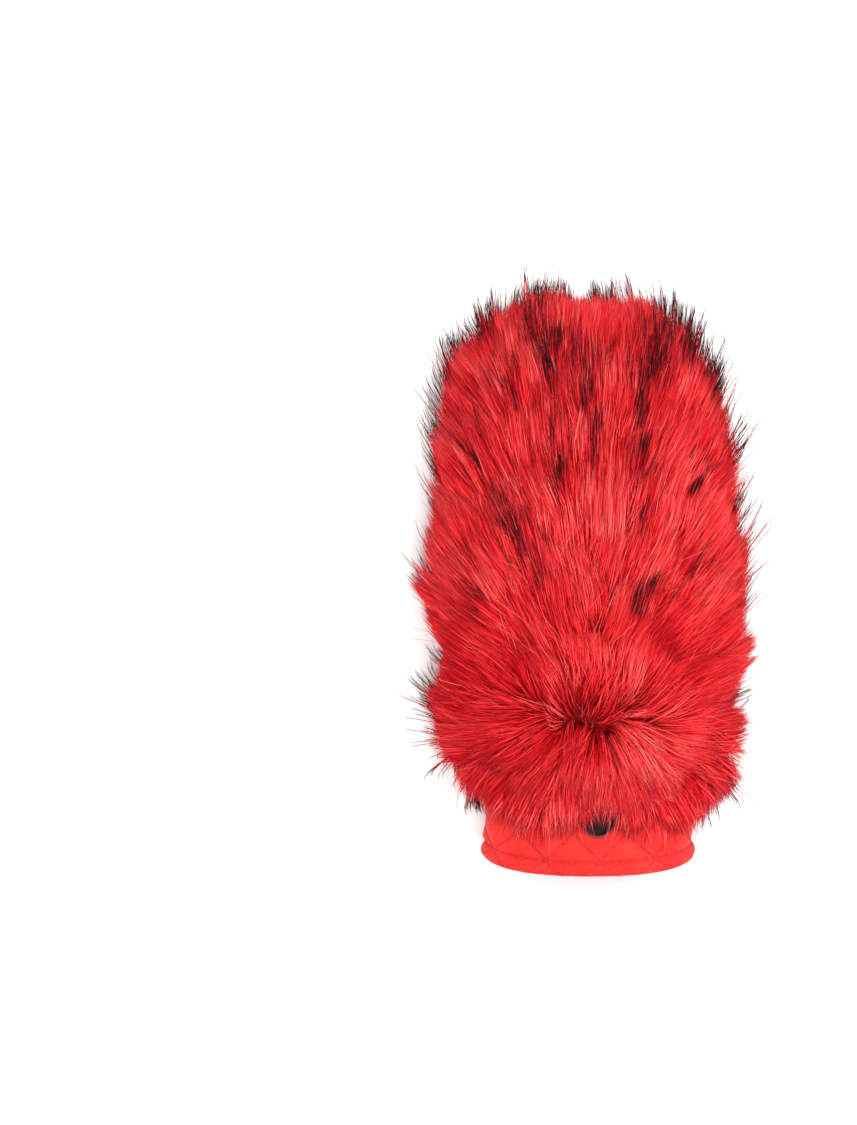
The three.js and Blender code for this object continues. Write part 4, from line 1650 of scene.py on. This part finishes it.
def gunmetalMaterial():
    material, tree, shader = newMaterial("gunmetal")
    inputs = {"Vector": objectPlace(tree), "Location": (-badge["x"], -badge["y"], -badge["base"])}
    centred = addNode(tree, "ShaderNodeMapping", inputs).outputs[0]
    x, y, _ = separated(tree, centred)
    away = vectorMaths(tree, "LENGTH", combined(tree, x, y))
    # the rim is painted lighter, partly wear and partly a painted highlight
    wornAndGlinting = mapped(tree, away, badge["radius"] - badge["rimWidth"] * badge["wearAndGlintWidth"], badge["radius"])
    speckle = noiseAt(tree, centred, badge["speckles"], 5.0)[0]
    shade = blended(tree, (speckle, badge["speckle"]), (wornAndGlinting, badge["wearAndGlint"]))
    setInputs(tree, shader, {
        "Base Color": addRamp(tree, shade, badge["colors"]),
        "Roughness": mapped(tree, speckle, 0.3, 0.7, *badge["roughness"], "LINEAR"),
        "Metallic": 1,
    })
    return material


# The padded hand and thumb, and the pelt's backing

padding = {
    "voxels": {"hand_shell": 0.0010, "thumb": 0.00045},
    "kept": {"hand_shell": 0.16, "thumb": 0.085},  # share of the remeshed faces
    "smoothing": {"hand_shell": 8, "thumb": 20},
    "merged": 1e-6,
    "flattened": 0.0004,  # what lies less than this above the lowest point is pressed flat
    "thread": 0.0009,
    "weaveDepth": 0.00015,
    "patches": 45.0,
    "colors": [
        (0.3, (0.45, 0.010, 0.014)),
        (0.5, (0.60, 0.018, 0.022)),
        (0.7, (0.72, 0.032, 0.034)),
    ],
    "roughness": 0.75,
    "sheen": 0.3,
}


def roundedCopy(node, name):
    # a finer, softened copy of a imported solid, kept flat underneath
    made = bpy.data.objects.new(name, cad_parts[node].data.copy())
    scene.collection.objects.link(made)
    made.data.materials.clear()
    merge = bmesh.new()
    merge.from_mesh(made.data)
    bmesh.ops.remove_doubles(merge, verts=merge.verts, dist=padding["merged"])
    merge.to_mesh(made.data)
    merge.free()
    remesh = made.modifiers.new("remesh", "REMESH")
    remesh.mode = "VOXEL"
    remesh.voxel_size = padding["voxels"][node]
    smooth = made.modifiers.new("smooth", "CORRECTIVE_SMOOTH")
    smooth.iterations = padding["smoothing"][node]
    smooth.use_only_smooth = True
    thinner = made.modifiers.new("thinner", "DECIMATE")
    thinner.ratio = padding["kept"][node]
    mesh = keepModified(made)
    mesh.name = name
    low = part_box(node)[0].z
    places = np.zeros(len(mesh.vertices) * 3, np.float32)
    mesh.vertices.foreach_get("co", places)
    heights = places[2::3]
    heights[heights < low + padding["flattened"]] = low
    mesh.vertices.foreach_set("co", places)
    mesh.update()
    return made


def palmMaterial():
    material, tree, shader = newMaterial("palm cloth")
    place = objectPlace(tree)
    fine = clothBump(tree, shader, place, padding["thread"], padding["weaveDepth"])
    setInputs(tree, shader, {
        "Base Color": clothColor(tree, place, padding["patches"], fine, padding["colors"]),
        "Roughness": padding["roughness"],
        "Sheen Weight": padding["sheen"],
    })
    return material


def backingMaterial():
    material, tree, shader = newMaterial("pelt backing")
    knit = noiseAt(tree, objectPlace(tree), pelt["knit"], 4.0)[0]
    setInputs(tree, shader, {
        "Base Color": addRamp(tree, knit, pelt["colors"]),
        "Normal": bumped(tree, knit, pelt["knitStrength"], pelt["knitDepth"]),
        "Roughness": pelt["roughness"],
    })
    return material


def makeBacking():
    # the pelt's cloth: an outer and an inner skin, joined along every edge
    rows = skinRows(pelt["offset"], pelt["fineness"])
    made = addMesh("fur_backing", np.vstack(rows), gridFaces(len(rows), len(rows[0])))
    trim = bmesh.new()
    trim.from_mesh(made.data)
    bmesh.ops.remove_doubles(trim, verts=trim.verts, dist=pelt["merged"])
    atTip = [e for e in trim.edges if e.is_boundary and e.verts[0].co.y > pelt["holeFromY"]]
    bmesh.ops.holes_fill(trim, edges=atTip, sides=0)
    clear = outsideThumb([v.co for v in trim.verts], pelt["overThumb"])
    inside = [v for v, outside in zip(trim.verts, clear) if not outside]
    bmesh.ops.delete(trim, geom=inside, context="VERTS")
    bmesh.ops.triangulate(trim, faces=[f for f in trim.faces if len(f.verts) > 4])
    bmesh.ops.recalc_face_normals(trim, faces=trim.faces)
    trim.to_mesh(made.data)
    trim.free()
    wall = made.modifiers.new("wall", "SOLIDIFY")
    wall.thickness = pelt["thickness"] - pelt["gap"]
    wall.offset = -1
    keepModified(made).materials.append(backingMaterial())
    return made


addCamera()
addLights()
addFloor()
print("camera, light and floor")

palm = palmMaterial()
for node, name in (("hand_shell", "padded_hand"), ("thumb", "padded_thumb")):
    softened = roundedCopy(node, name)
    softened.data.materials.append(palm)
    dress(softened, "palm_fabric", node)
    print(name, "faces", len(softened.data.polygons))

quilted = makeCuff()
dress(quilted, "quilted_fabric", "cuff")
for piece in makeStitches():
    dress(piece, "quilted_fabric")
dress(makeBadge(), "gunmetal", "badge")
print("cuff, stitches and badge")

backing = makeBacking()
dress(backing, "faux_fur")
makeFur()
